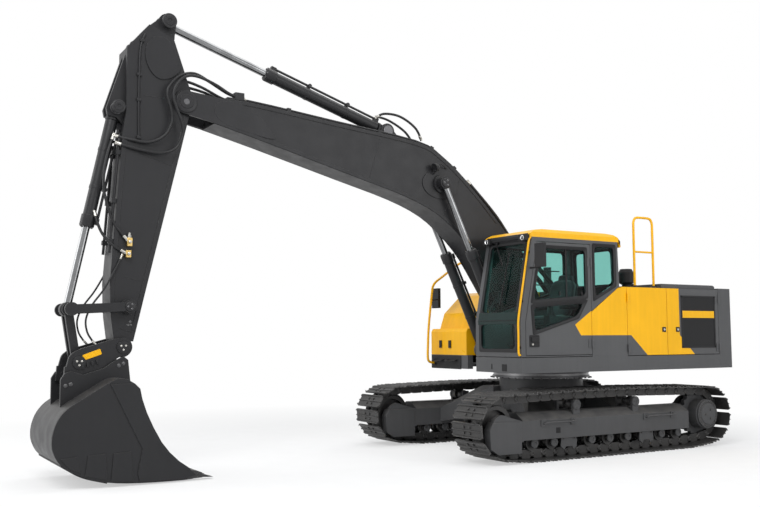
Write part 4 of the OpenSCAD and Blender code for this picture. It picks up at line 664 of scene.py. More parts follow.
# Shoe section: distance along the link and height above the chain, three grousers
SHOE_SECTION = [(-0.092, 0.0), (0.090, 0.0), (0.094, 0.006), (0.089, 0.027), (0.079, 0.027), (0.068, 0.010),
                (0.013, 0.010), (0.006, 0.025), (-0.006, 0.025), (-0.013, 0.010), (-0.066, 0.010),
                (-0.077, 0.027), (-0.087, 0.027), (-0.094, 0.008)]
SHOE_CLIP = 0.030
SHOE_CLIP_SHARE = 0.80
SHOE_BOLT = (0.036, 0.060)
LINK_SECTION = [(-0.094, -0.020), (-0.080, -0.043), (-0.066, -0.052), (0.066, -0.052), (0.080, -0.043),
                (0.094, -0.020), (0.094, 0.026), (0.070, 0.040), (0.058, 0.056), (-0.058, 0.056),
                (-0.070, 0.040), (-0.094, 0.026)]
RAIL_NEAR = 0.038
RAIL_FAR = 0.082
SHOE_PLATE = 0.010
SHOE_BOLT_HEAD = [(0, 0.016), (0.012, 0.016), (0.014, 0.013)]
CHAIN_PIN_END = [(-0.004, 0.036), (0.006, 0.036), (0.009, 0.030), (0.009, 0.020), (0.005, 0.018)]


def make_tracks():
    """Shoes, links and bolts of both tracks, set out link by link."""
    pins = track_pins()
    low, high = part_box("track_shoes_left")
    middle, half = (low.y + high.y) / 2, (high.y - low.y) / 2
    chain = Shape()
    bolts = Shape()
    for side, name in ((1, "left"), (-1, "right")):
        shoes = Shape()
        for i, pin in enumerate(pins):
            ahead = pins[(i + 1) % LINKS]
            run = (ahead - pin).normalized()
            out = Vector((run.y, -run.x))
            mid = (pin + ahead) / 2

            def place(s, h, y):
                flat = mid + run * s + out * h
                return Vector((flat.x, side * middle + y, flat.y))

            rings = []
            for y, share in ((-half, SHOE_CLIP_SHARE), (-half + SHOE_CLIP, 1), (half - SHOE_CLIP, 1),
                             (half, SHOE_CLIP_SHARE)):
                rings.append([place(s * share, CHAIN_OUT + h, y) for s, h in SHOE_SECTION])
            shoes.loft(rings)
            for s in (-SHOE_BOLT[0], SHOE_BOLT[0]):
                for y in (-SHOE_BOLT[1], SHOE_BOLT[1]):
                    way = Vector((out.x, 0, out.y))
                    bolts.lathe(place(s, CHAIN_OUT + SHOE_PLATE, y), way, SHOE_BOLT_HEAD, 6)
            for start in (-RAIL_FAR, RAIL_NEAR):
                section = [place(s, h, start) for s, h in LINK_SECTION]
                chain.prism(section, (0, RAIL_FAR - RAIL_NEAR, 0))
            for face, way in ((-RAIL_FAR, -1), (RAIL_FAR, 1)):
                at = Vector((pin.x, side * middle + face, pin.y))
                chain.lathe(at, (0, way, 0), CHAIN_PIN_END, 14)
        made = shoes.piece(f"shoes_{name}", track_steel, "undercarriage")
        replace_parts(made, f"track_shoes_{name}")
    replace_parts(chain.piece("chain_links", track_steel, "undercarriage"),
                "track_chains")
    bolts.piece("shoe_bolts", track_steel, "undercarriage")


# Undercarriage: guards, hubs, roller caps and handles on both track frames
TRACK_Y = box_middle("track_shoes_left").y
GUARD_OUTLINE = [(1.535, 0.115), (1.900, 0.115), (2.010, 0.190), (2.025, 0.420), (1.975, 0.505),
                 (1.535, 0.505)]
GUARD_NEAR = 0.105
GUARD_FAR = 0.228
HANDLES = [(1.180, 0.690), (-0.600, -1.120)]
HANDLE_Z = 0.470
HANDLE_OUT = 0.036
HANDLE_FOOT = 0.014
BEAM_HOLE = (0.940, 0.365)
BEAM_HOLE_HALF = 0.034
BEAM_HOLE_RISE = 0.003
ROLLER_COUNT = 9
ROLLER_CAP = [(-0.01, 0.058), (0.010, 0.058), (0.016, 0.050), (0.016, 0.024), (0.009, 0.020)]
ROLLER_GUARDS = (0.740, -0.640)
ROLLER_GUARD_PLATE = [(-0.135, 0.150), (-0.075, 0.105), (-0.050, 0.150), (0.050, 0.150), (0.075, 0.105),
                      (0.135, 0.150), (0.125, 0.290), (-0.125, 0.290)]
ROLLER_GUARD_GAP = 0.022
ROLLER_GUARD_HALF = 0.009
TOP_ROLLER_CAP = [(-0.030, 0.068), (0.008, 0.068), (0.016, 0.058), (0.016, 0.022), (0.009, 0.018)]
HUB_CAP = [(-0.02, 0.196), (0.004, 0.196), (0.008, 0.188), (0.008, 0.150), (0.020, 0.140), (0.024, 0.118),
           (0.024, 0.004)]


def add_idler_guards(guards, side):
    for near in (1, -1):
        low, high = sorted((side * TRACK_Y + near * GUARD_NEAR, side * TRACK_Y + near * GUARD_FAR))
        guards.slab(GUARD_OUTLINE, low, high)


def add_hub(caps, bolts, side):
    """The drive's round cover with its two rings of bolts."""
    hub = box_middle("drive_sprockets")
    out = Vector((0, side, 0))
    at = Vector((hub.x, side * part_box("drive_sprockets")[1].y, hub.z))
    caps.lathe(at, out, HUB_CAP, 48)
    bolts.bolt_ring(at + out * 0.008, out, 0.172, 30, 0.0095)
    bolts.bolt_ring(at + out * 0.024, out, 0.070, 3, 0.012)


def add_roller_caps(caps, side):
    low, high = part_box("bottom_rollers")
    radius = (high.z - low.z) / 2
    for k in range(ROLLER_COUNT):
        x = low.x + radius + (high.x - low.x - 2 * radius) * k / (ROLLER_COUNT - 1)
        for end in (1, -1):
            at = Vector((x, side * (TRACK_Y + end * (high.y - TRACK_Y)), (low.z + high.z) / 2))
            caps.lathe(at, (0, side * end, 0), ROLLER_CAP, 22)


def add_roller_guards(guards, bolts, side):
    """Plates with two feet beside the bottom rollers."""
    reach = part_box("bottom_rollers")[1].y - TRACK_Y + ROLLER_GUARD_GAP
    for x in ROLLER_GUARDS:
        plate = [(x + dx, z) for dx, z in ROLLER_GUARD_PLATE]
        for near in (1, -1):
            y = side * TRACK_Y + near * reach
            guards.slab(plate, y - ROLLER_GUARD_HALF, y + ROLLER_GUARD_HALF)
            for dx in (-0.090, 0.090):
                bolts.bolt((x + dx, y + near * ROLLER_GUARD_HALF, 0.255), (0, near, 0), 0.011)


def add_top_roller_caps(caps, bolts, side):
    out = Vector((0, side, 0))
    for x in TOP_ROLLERS:
        at = Vector((x, side * TOP_BRACKET_FACE, box_middle("top_rollers").z))
        caps.lathe(at, out, TOP_ROLLER_CAP, 28)
        bolts.bolt_ring(at + out * 0.014, out, 0.042, 4, 0.007)


def add_handles(bars, side):
    """Bent bars along the track frame's side, each on two foot plates."""
    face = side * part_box("track_frames")[1].y
    out = face + side * HANDLE_OUT
    low, high = sorted((face, face + side * HANDLE_FOOT))
    for start, end in HANDLES:
        grip = [(start, face, HANDLE_Z - 0.022), (start, out, HANDLE_Z - 0.010),
                (start - 0.07, out, HANDLE_Z), (end + 0.07, out, HANDLE_Z),
                (end, out, HANDLE_Z + 0.010), (end, face, HANDLE_Z + 0.022)]
        bars.tube(smooth_line(grip, 5), 0.011, 10)
        for x in (start, end):
            bars.block((x - 0.045, low, HANDLE_Z - 0.045), (x + 0.045, high, HANDLE_Z + 0.040), 0.004)


# A dark square a little proud of the frame's face stands in for the hole in the beam: painted shade of the
# hole's inside.
def add_beam_slot_shade(slot_shades, side):
    x, z = BEAM_HOLE
    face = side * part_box("track_frames")[1].y
    low, high = sorted((face, face + side * BEAM_HOLE_RISE))
    slot_shades.block((x - BEAM_HOLE_HALF, low, z - BEAM_HOLE_HALF), (x + BEAM_HOLE_HALF, high, z + BEAM_HOLE_HALF))


def make_track_frame_details():
    guards, bars, bolts, caps, slot_shades = Shape(), Shape(), Shape(), Shape(), Shape()
    for side in (1, -1):
        add_idler_guards(guards, side)
        add_hub(caps, bolts, side)
        add_roller_caps(caps, side)
        add_roller_guards(guards, bolts, side)
        add_top_roller_caps(caps, bolts, side)
        add_handles(bars, side)
        add_beam_slot_shade(slot_shades, side)
    guards.piece("track_guards", frame_paint, "undercarriage", bevel=0.006)
    bars.piece("track_handles", frame_paint, "undercarriage")
    caps.piece("hub_and_roller_caps", frame_paint, "undercarriage")
    bolts.piece("undercarriage_bolts", track_steel, "undercarriage")
    slot_shades.piece("beam_slot_shades", gasket_rubber, "undercarriage")


def make_swing_ring():
    """Bolted rings and a steel lip round the swing bearing."""
    low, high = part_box("swing_bearing")
    radius = high.x
    ring, bolts = Shape(), Shape()
    ring.lathe((0, 0, low.z), UP, [(0.010, radius - 0.010), (0.010, radius + 0.012), (0.034, radius + 0.012),
                                   (0.038, radius - 0.004), (0.066, radius - 0.004), (0.070, radius + 0.008),
                                   (0.092, radius + 0.008), (0.096, radius - 0.010)], 72)
    bolts.bolt_ring((0, 0, low.z - 0.004), UP, radius + 0.030, 36, 0.013)
    ring.piece("swing_ring_lip", pin_steel, "undercarriage")
    bolts.piece("swing_ring_bolts", pin_steel, "undercarriage")


# Cab: window trims, rails, lamps and what shows through the glass
# Section of the window trims: inwards, out of the pane, corner radius
TRIM_SECTION = [(-0.014, 0.0260, 0.030), (-0.014, 0.0310, 0.030), (0.024, 0.0310, 0.060),
                (0.030, 0.0270, 0.060), (0.030, 0.0010, 0.060), (0.002, 0.0010, 0.030)]


def pane_outlines(name, middle):
    """The outer faces of a glass node's panes, each as its corner points and the way that it faces."""
    work = bmesh.new()
    work.from_mesh(NODES[name].data)
    bmesh.ops.remove_doubles(work, verts=work.verts, dist=1e-5)
    work.faces.ensure_lookup_table()
    left, panes = set(work.faces), []
    while left:
        island, edge = set(), [left.pop()]
        while edge:
            face = edge.pop()
            island.add(face)
            for line in face.edges:
                for other in line.link_faces:
                    if other in left:
                        left.discard(other)
                        edge.append(other)
        biggest = max(island, key=lambda f: f.calc_area())
        way = biggest.normal.copy()
        if way.dot(biggest.calc_center_median() - middle) < 0:
            way.negate()
        front = {f for f in island if f.normal.dot(way) > 0.999}
        lines = {}
        for face in front:
            for loop in face.loops:
                if not any(f in front for f in loop.edge.link_faces if f is not face):
                    lines[loop.vert] = loop.link_loop_next.vert
        start = next(iter(lines))
        ring, at = [start.co.copy()], lines[start]
        while at is not start:
            ring.append(at.co.copy())
            at = lines[at]
        corners = []
        for i, p in enumerate(ring):
            before, after = p - ring[i - 1], ring[(i + 1) % len(ring)] - p
            if before.normalized().dot(after.normalized()) < 0.9995:
                corners.append(p)
        panes.append((corners, way))
    work.free()
    return panes


def add_trim(shape, corners, way, sections=TRIM_SECTION):
    """A rubber frame round a pane: sections give (inwards, out of the pane, corner radius)."""
    origin = corners[0]
    u = (corners[1] - origin).normalized()
    v = way.cross(u)
    flat = [Vector(((p - origin).dot(u), (p - origin).dot(v))) for p in corners]
    if sum(a.x * b.y - b.x * a.y for a, b in zip(flat, flat[1:] + flat[:1])) < 0:
        flat.reverse()
    shape.loft([[origin + u * q.x + v * q.y + way * rise
                 for q in rounded_outline(inset(flat, inward), radius)]
                for inward, rise, radius in sections], closed=True)


CAB_LOW, CAB_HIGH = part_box("cab_frame")
CAB_MIDDLE_Y = (CAB_LOW.y + CAB_HIGH.y) / 2
KNEE_Z = 1.750
SCREEN_LEAN = 0.205
DIVIDER_X = 0.660
DOOR_BAR = [(0.340, 1.985), (1.245, 1.912), (1.245, 1.976), (0.340, 2.056)]
SILL_RISE = 0.44
BAND_Z = (1.690, 1.845)
BAND_OUT = 0.012
BAND_IN = 0.04


def screen_x(z):
    """The cab's front at a height."""
    return CAB_HIGH.x - SCREEN_LEAN * max(0.0, z - KNEE_Z) / (CAB_HIGH.z - KNEE_Z)


def make_cab_glazing():
    """Rubber trims round the panes of the cab and its door."""
    middle = (CAB_LOW + CAB_HIGH) / 2
    for node_name, body in (("windscreen", "upper"), ("cab_side_glass", "upper"),
                            ("cab_rear_glass", "upper"), ("cab_door_glass", "cab_door")):
        trims = Shape()
        for corners, way in pane_outlines(node_name, middle):
            add_trim(trims, corners, way)
        trims.piece(f"{node_name}_trim", gasket_rubber, body)


def make_door_window_slide():
    """The divider and the catches of the door's sliding panes, and the dark bar below them."""
    low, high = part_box("cab_door_glass")
    rails = Shape()
    pane_y = high.y
    sill_z = low.z + SILL_RISE
    rails.block((DIVIDER_X - 0.013, pane_y - 0.002, sill_z),
                (DIVIDER_X + 0.013, pane_y + 0.012, high.z - 0.010))
    for x in (DIVIDER_X + 0.10, low.x + 0.06):
        rails.block((x, pane_y, sill_z + 0.055), (x + 0.03, pane_y + 0.016, sill_z + 0.105), 0.004)
    rails.slab(DOOR_BAR, CAB_HIGH.y - 0.010, CAB_HIGH.y + 0.0035)
    rails.piece("door_window_slide", gasket_rubber, "cab_door", bevel=0.002)


def make_windscreen_band():
    """The dark teal band over the windscreen's cross bar, coloured as tinted glass with painted shade of the
    cab's inside behind it, and the joint across it.
    """
    low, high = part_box("windscreen")
    front = CAB_HIGH.x
    base, top = BAND_Z
    band, joint = Shape(), Shape()
    band.slab([(front - BAND_IN, base), (front + BAND_OUT, base), (front + BAND_OUT, KNEE_Z),
               (screen_x(top) + BAND_OUT, top), (screen_x(top) - BAND_IN, top)],
              -high.y - 0.02 + 2 * CAB_MIDDLE_Y, high.y + 0.02)
    band.piece("windscreen_band", glass_look_painted_shade, "upper", bevel=0.002)
    joint.tube([(front + BAND_OUT, y, KNEE_Z - 0.01) for y in (low.y, high.y)], 0.005, 8)
    joint.piece("windscreen_joint", gasket_rubber, "upper")


WIPER_PIVOT = (2.770, 0.640)
WIPER_TIP = (2.280, 0.930)
BLADE_HALF = 0.34
ROOF_CAP = [(-0.200, 2.895), (-0.270, 2.868), (-0.312, 2.822), (-0.328, 2.735), (-0.302, 2.728),
            (-0.3005, 2.802), (-0.200, 2.802)]
LAMP_IN = 0.075
CAB_LAMP_BOWL = [(-0.004, 0.034), (0.002, 0.034), (0.004, 0.031), (0.002, 0.028), (-0.003, 0.004)]
CAB_LAMP_LENS = [(0.001, 0.029), (0.006, 0.024), (0.008, 0.012), (0.0085, 0.001)]
MIRROR_Y = (1.437, 1.583)
MIRROR_Z = (2.420, 2.680)
RAIL_OUT = 0.026
POST_RAIL_Z = (1.330, 1.560, KNEE_Z - 0.03, 1.900, 2.250, 2.560, 2.760)
POST_RAIL_FEET_Z = (1.40, 1.98, 2.60)


def make_wiper():
    wiper = Shape()
    (z0, y0), (z1, y1) = WIPER_PIVOT, WIPER_TIP
    pivot = Vector((screen_x(z0) + 0.02, y0, z0))
    tip = Vector((screen_x(z1) + 0.024, y1, z1))
    wiper.tube([pivot, pivot.lerp(tip, 0.1) + Vector((0.016, 0, 0)), pivot.lerp(tip, 0.62)], 0.008, 8)
    blade = [Vector((screen_x(z) + 0.014, y1 - 0.03 + 0.02 * s, z))
             for s, z in ((-1, z1 - BLADE_HALF), (0, z1), (1, z1 + BLADE_HALF))]
    wiper.tube(blade, 0.009, 8)
    wiper.lathe(pivot - Vector((0.03, 0, 0)), FORWARD, [(0, 0.024), (0.035, 0.024), (0.045, 0.016)], 18)
    wiper.piece("wiper", gasket_rubber, "upper")


def make_roof_parts():
    """The brow over the windscreen and the lip at the roof's rear."""
    low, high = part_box("cab_roof")
    front = high.x
    brow, cap = Shape(), Shape()
    brow.slab([(front - 0.06, low.z - 0.004), (front + 0.030, low.z - 0.022), (front + 0.044, low.z + 0.012),
               (front + 0.006, low.z + 0.050), (front - 0.06, low.z + 0.050)], low.y + 0.05, high.y - 0.05)
    brow.piece("roof_brow", black_plastic, "upper", bevel=0.006)
    cap.slab(ROOF_CAP, low.y + 0.004, high.y - 0.004)
    cap.piece("roof_rear_cap", yellow_paint, "upper", bevel=0.012)


def make_cab_lamp_faces():
    bowls, lenses = Shape(), Shape()
    low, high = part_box("cab_lamps")
    for y in (low.y + LAMP_IN, high.y - LAMP_IN):
        at = Vector((high.x, y, (low.z + high.z) / 2))
        bowls.lathe(at, FORWARD, CAB_LAMP_BOWL, 26)
        lenses.lathe(at, FORWARD, CAB_LAMP_LENS, 26)
    bowls.piece("cab_lamp_bowls", lamp_bowl, "upper")
    lenses.piece("cab_lamp_lenses", lens_glass, "upper")


def left_mirror_rear():
    """The rear face of the left mirror: the points of the mirror node outside the cab's left side."""
    return min(v.co.x for v in NODES["mirrors"].data.vertices if v.co.y > CAB_HIGH.y + 0.10 and v.co.z > 2.40)


def make_mirror_glass():
    glass = Shape()
    rear = left_mirror_rear()
    glass.block((rear - 0.004, MIRROR_Y[0], MIRROR_Z[0]), (rear + 0.001, MIRROR_Y[1], MIRROR_Z[1]), 0.001)
    glass.piece("mirror_glass", mirror_face, "upper")


def make_front_post_rail():
    rail, feet = Shape(), Shape()
    y = CAB_HIGH.y - 0.020
    line = [Vector((screen_x(z) + RAIL_OUT, y, z)) for z in POST_RAIL_Z]
    start = Vector((screen_x(1.31) - 0.002, y, 1.305))
    end = Vector((screen_x(2.785) - 0.002, y, 2.790))
    rail.tube(smooth_line([start] + line + [end], 6), 0.0135, 12)
    for z in POST_RAIL_FEET_Z:
        feet.lathe((screen_x(z) - 0.004, y, z), FORWARD,
                   [(0, 0.020), (0.008, 0.020), (0.010, 0.009), (RAIL_OUT, 0.009)], 14)
    rail.piece("front_post_rail", yellow_paint, "upper")
    feet.piece("front_post_rail_feet", black_plastic, "upper")


def cushion_rings(outline, way, depth, levels):
    """Rings of an outline scaled about its middle, for a crowned cushion."""
    middle = sum(outline, Vector()) / len(outline)
    return [[middle + (p - middle) * scale + way * depth * level for p in outline] for level, scale in levels]


# Cushion section: share of the depth and share of the outline
CROWN = [(0.00, 0.90), (0.10, 0.97), (0.35, 1.00), (0.62, 0.99), (0.82, 0.93), (0.94, 0.78), (0.99, 0.52),
         (1.0, 0.20)]


def rounded_plate(centre, u, v, half_u, half_v, radius):
    corners = [Vector((-half_u, -half_v)), Vector((half_u, -half_v)), Vector((half_u, half_v)),
               Vector((-half_u, half_v))]
    return [centre + u * q.x + v * q.y for q in rounded_outline(corners, radius, 6)]


def make_seat():
    """Crowned cushions with piping, arm rests and a bellows base."""
    low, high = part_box("operator_seat")
    middle_y = (low.y + high.y) / 2
    soft, piping, base = Shape(), Shape(), Shape()
    lean = Vector((-0.22, 0, 0.975)).normalized()
    out = Vector((lean.z, 0, -lean.x))
    seat = rounded_plate(Vector((0.505, middle_y, 1.690)), FORWARD, LEFT, 0.250, 0.225, 0.09)
    back = rounded_plate(Vector((0.300, middle_y, 2.030)), LEFT, lean, 0.215, 0.250, 0.11)
    head = rounded_plate(Vector((0.232, middle_y, 2.300)), LEFT, lean, 0.120, 0.052, 0.05)
    for ring, way, depth in ((seat, UP, 0.125), (back, out, 0.120), (head, out, 0.085)):
        soft.loft(cushion_rings(ring, way, depth, CROWN))
        rim = [p + way * depth * 0.55 for p in cushion_rings(ring, way, 0.0, [(0, 1.005)])[0]]
        piping.tube(rim, 0.006, 8, closed=True)
    for y in (-0.075, 0.075):
        ridge = [Vector((0.285 + 0.21 * k, middle_y + y, 1.690 + 0.125 * (0.985 - 0.05 * abs(2 * k - 1))))
                 for k in (0.15, 0.5, 1.0, 1.5, 1.85)]
        piping.tube(smooth_line(ridge, 4), 0.0045, 6)
    cushions = soft.piece("seat_cushions", seat_cloth, "upper", angle=60)
    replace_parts(cushions, "operator_seat")
    piping.piece("seat_piping", black_plastic, "upper")
    for k in range(6):
        z = low.z + 0.10 + 0.036 * k
        half = 0.155 if k % 2 else 0.178
        base.block((0.45 - half, middle_y - half, z), (0.45 + half, middle_y + half, z + 0.036), 0.03)
    base.block((0.26, middle_y - 0.21, low.z), (0.66, middle_y + 0.21, low.z + 0.10), 0.02)
    base.block((0.27, middle_y - 0.20, 1.640), (0.72, middle_y + 0.20, 1.692), 0.03)
    shell = rounded_plate(Vector((0.300, middle_y, 2.010)), LEFT, lean, 0.19, 0.24, 0.08)
    base.prism([p - out * 0.045 for p in shell], out * 0.05)
    for side in (-1, 1):
        rest = [Vector((x, middle_y + side * y, z))
                for x, y, z in ((0.28, 0.232, 1.905), (0.40, 0.236, 1.925), (0.58, 0.236, 1.915))]
        base.tube(smooth_line(rest, 5), 0.030, 12)
    base.piece("seat_base", black_plastic, "upper", bevel=0.008)


BOOT = [(0, 0.052), (0.012, 0.055), (0.022, 0.044), (0.032, 0.047), (0.044, 0.034), (0.054, 0.036),
        (0.070, 0.016)]
LEVER = [(0, 0.013), (0.03, 0.017), (0.075, 0.024), (0.105, 0.027), (0.125, 0.021), (0.132, 0.006)]
PEDAL_KNOB = [(0, 0.015), (0.02, 0.024), (0.05, 0.022), (0.06, 0.008)]
PEDAL_ROD = [(1.06, 1.345), (1.12, 1.55), (1.09, 1.80), (1.02, 1.95)]
PEDAL_Y = 0.085
PEDAL_HALF = 0.055
WINDOW_BARS_Z = (2.05, 2.25, 2.45)


def make_cab_inside():
    """Levers with boots, display, travel pedals and the right-hand window's bars."""
    low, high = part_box("control_consoles")
    boots, knobs, screens, bars = Shape(), Shape(), Shape(), Shape()
    for y in (low.y + 0.085, high.y - 0.085):
        at = Vector((high.x - 0.12, y, high.z - 0.17))
        boots.lathe(at, UP, BOOT, 20)
        knobs.lathe(at + Vector((0, 0, 0.07)), Vector((0.08, 0, 1)), LEVER, 18)
    for side in (-1, 1):
        y = CAB_MIDDLE_Y + side * PEDAL_Y
        rod = [Vector((x, y, z)) for x, z in PEDAL_ROD]
        knobs.tube(smooth_line(rod, 5), 0.011, 8)
        knobs.lathe(rod[-1], Vector((-0.2, 0, 1)), PEDAL_KNOB, 14)
        near, far = y - PEDAL_HALF, y + PEDAL_HALF
        boots.prism([Vector((1.00, near, 1.340)), Vector((1.00, far, 1.340)), Vector((1.17, far, 1.440)),
                     Vector((1.17, near, 1.440))], (0.008, 0, -0.014))
    face = Vector((-0.9, 0.25, 0.2)).normalized()
    at = Vector((1.16, CAB_LOW.y + 0.11, 2.06))
    u, v = unit_frame(face)
    screens.prism(rounded_plate(at, u, v, 0.105, 0.075, 0.02), face * 0.035)
    stalk = [at + face * 0.01, at + Vector((0.05, -0.03, -0.10)), Vector((1.26, CAB_LOW.y + 0.06, 1.80))]
    knobs.tube(stalk, 0.013, 8)
    for z in WINDOW_BARS_Z:
        bars.tube([(-0.02, CAB_LOW.y + 0.014, z), (screen_x(z) - 0.12, CAB_LOW.y + 0.014, z)], 0.008, 8)
    boots.piece("lever_boots", hose_rubber, "upper")
    knobs.piece("levers_and_pedals", black_plastic, "upper")
    screens.piece("cab_display", black_plastic, "upper", bevel=0.005)
    bars.piece("right_window_bars", black_plastic, "upper")


DOOR_HANDLE = (1.227, 1.478)


def make_cab_door_parts():
    """The door's handle in its cup, and the lock below it."""
    cup, lock = Shape(), Shape()
    x, z = DOOR_HANDLE
    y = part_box("cab_door")[1].y
    wall = CAB_HIGH.y
    cup.prism(rounded_plate(Vector((x, wall - 0.002, z)), FORWARD, UP, 0.080, 0.075, 0.015), (0, 0.010, 0))
    cup.block((x - 0.060, wall, z - 0.010), (x + 0.060, y - 0.004, z + 0.050), 0.006)
    cup.piece("cab_door_handle", black_plastic, "cab_door", bevel=0.003)
    lock.lathe((x + 0.035, wall + 0.008, z - 0.040), LEFT,
               [(0, 0.014), (0.006, 0.014), (0.008, 0.010), (0.004, 0.004)], 18)
    lock.piece("cab_door_lock", zinc, "cab_door")


# Working gear: side outlines follow the boom and the arm by shares of their lengths
BOOM_TOP_SHARES = [(0.100, 0.105), (0.204, 0.152), (0.320, 0.193), (0.410, 0.213), (0.486, 0.210),
                   (0.686, 0.141), (0.887, 0.0706), (0.945, 0.041)]
# The boom's lower edge in the solid, and the higher one that the side view shows
BOOM_LOW_SHARES = [(0.120, -0.022), (0.227, -0.017), (0.300, 0.016), (0.373, 0.040), (0.466, 0.040),
                   (0.604, 0.025), (0.823, -0.0126), (0.930, -0.0229)]
BOOM_SLIM_SHARES = [(0.120, -0.022), (0.227, 0.042), (0.300, 0.069), (0.373, 0.083), (0.466, 0.0775),
                    (0.604, 0.0525), (0.823, 0.012), (0.930, -0.0093)]
BOOM_EDGE_DEPTH = 0.040
BOOM_EDGE_END = 0.99
BOOM_HEEL_SHARES = [(0.845, 0.055), (0.800, 0.034), (0.835, 0.018), (0.92, 0.002), (0.945, 0.030),
                    (0.90, 0.058)]
BOOM_SEAMS = (0.33, 0.63, 0.86)
LIFT_PATCH = (0.29, 0.20)
WELD_DISTANCE = 0.00002
FLAT_ANGLE = math.radians(0.1)
LIFT_PIN_SHARE = (0.390, 0.152)
CROWD_PIN_SHARE = (-0.2997, 0.1424)
BOOM_HALF = 0.205
ARM_HALF = 0.165
LIFT_Y = 0.295


def pin_at(joint):
    """A joint's pin as a point of the side plane."""
    return Vector((PIN[joint].x, PIN[joint].z))


def along(start, end, share):
    """A point of the side plane, by shares along and square to the line between two joints' pins."""
    run = pin_at(end) - pin_at(start)
    size = run.length
    run.normalize()
    across = Vector((-run.y, run.x))
    return pin_at(start) + (run * share[0] + across * share[1]) * size


def boom_at(share):
    return along("boom_lift", "arm_crowd", share)


def arm_at(share):
    return along("arm_crowd", "bucket_curl", share)


def flat_line(points, steps=4):
    """A curve through (x, z) pairs."""
    return [Vector((p.x, p.z)) for p in smooth_line([(q.x, 0, q.y) for q in points], steps)]


def boom_line(shares):
    return flat_line([boom_at(s) for s in shares])


def shifted(line, amount):
    """A line of (x, z) pairs moved to its left."""
    out = []
    for i, point in enumerate(line):
        way = (line[min(i + 1, len(line) - 1)] - line[max(i - 1, 0)]).normalized()
        out.append(point + Vector((-way.y, way.x)) * amount)
    return out


def both_faces(shape, outline, half, rise):
    """The same raised plate on the left and the right face."""
    shape.slab(outline, half, half + rise)
    shape.slab(outline, -half - rise, -half)


def bead(shape, line, half, radius=0.004):
    """A weld bead on both side faces."""
    for y in (half, -half):
        shape.tube([Vector((p.x, y, p.y)) for p in line], radius, 6)


def boss(shape, at, radius, face):
    """A stepped round plate on both side faces."""
    for way in (1, -1):
        shape.lathe((at.x, way * face, at.y), (0, way, 0),
                    [(-0.004, radius), (0.008, radius), (0.013, radius - 0.008), (0.013, 0.66 * radius),
                     (0.019, 0.62 * radius), (0.019, 0.3 * radius), (0.012, 0.26 * radius)], 36)


def lookup(at, steps, values):
    """The value at a place, between the values of the two nearest steps."""
    for a, b, u, v in zip(steps, steps[1:], values, values[1:]):
        if a <= at <= b:
            return u + (v - u) * (at - a) / (b - a)
    return values[0] if at < steps[0] else values[-1]


def make_boom_body():
    """The boom's box with its lower edge drawn up to the depth that the side view shows."""
    foot = boom_at((0, 0))
    run = boom_at((1, 0)) - foot
    end = BOOM_EDGE_END * run.length
    run.normalize()
    across = Vector((-run.y, run.x))
    solid = [p - foot for p in boom_line(BOOM_LOW_SHARES)]
    steps = [p.dot(run) for p in solid]
    old_edge = [p.dot(across) for p in solid]
    new_edge = [(p - foot).dot(across) for p in boom_line(BOOM_SLIM_SHARES)]
    work = bmesh.new()
    work.from_mesh(NODES["boom"].data)
    work.transform(NODES["boom"].matrix_world)
    bmesh.ops.remove_doubles(work, verts=work.verts, dist=WELD_DISTANCE)
    bmesh.ops.dissolve_limit(work, angle_limit=FLAT_ANGLE, verts=work.verts, edges=work.edges)
    for vert in work.verts:
        flat = Vector((vert.co.x, vert.co.z)) - foot
        at = flat.dot(run)
        if not steps[0] < at < end:
            continue
        old = lookup(at, steps, old_edge)
        if abs(flat.dot(across) - old) < BOOM_EDGE_DEPTH:
            fade = 1 - max(0, at - steps[-1]) / (end - steps[-1])
            lift = across * (lookup(at, steps, new_edge) - old) * fade
            vert.co += Vector((lift.x, 0, lift.y))
    made = as_object("boom_body", bpy.data.meshes.new("boom_body"), work, charcoal_paint, 25)
    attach(made, "boom")
    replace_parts(made, "boom")


def make_boom_details():
    """Flange strips, weld beads, the plates at the knee and the nose, and the nose's bosses."""
    plates, beads, bosses = Shape(), Shape(), Shape()
    top, low = boom_line(BOOM_TOP_SHARES), boom_line(BOOM_SLIM_SHARES)
    for line, inward in ((top[4:], -1), (low[4:], 1)):
        rim = shifted(line, inward * 0.004)
        inner = shifted(line, inward * 0.046)
        both_faces(plates, rim + inner[::-1], BOOM_HALF, 0.007)
        bead(beads, inner, BOOM_HALF + 0.003)
    for share in BOOM_SEAMS:
        start = top[round(share * (len(top) - 1))]
        end = min(low, key=lambda p: (p - start).length)
        bead(beads, [start, end], BOOM_HALF, 0.003)
    heel = [boom_at(s) for s in BOOM_HEEL_SHARES]
    both_faces(plates, flat_line(heel + heel[:1], 5)[:-1], BOOM_HALF, 0.010)
    lift = boom_at(LIFT_PIN_SHARE)
    turns = (2 * math.pi * k / 28 for k in range(28))
    patch = [lift + Vector((math.cos(a) * LIFT_PATCH[0], math.sin(a) * LIFT_PATCH[1])) for a in turns]
    both_faces(plates, patch, BOOM_HALF, 0.012)
    boss(bosses, pin_at("arm_crowd"), 0.128, 0.213)
    plates.piece("boom_flanges", charcoal_paint, "boom", bevel=0.002)
    beads.piece("boom_welds", charcoal_paint, "boom")
    bosses.piece("boom_bosses", charcoal_paint, "boom")


def make_lift_pin_caps():
    caps, bolts = Shape(), Shape()
    lift = boom_at(LIFT_PIN_SHARE)
    for way in (1, -1):
        at = Vector((lift.x, way * (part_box("boom_rods")[1].y + 0.004), lift.y))
        caps.lathe(at, (0, way, 0), [(-0.01, 0.062), (0.012, 0.062), (0.017, 0.055), (0.017, 0.004)], 30)
        bolts.bolt_ring(at + Vector((0, way * 0.016, 0)), (0, way, 0), 0.034, 3, 0.009)
    caps.piece("lift_pin_caps", charcoal_paint, "boom")
    bolts.piece("lift_pin_bolts", pin_steel, "boom")


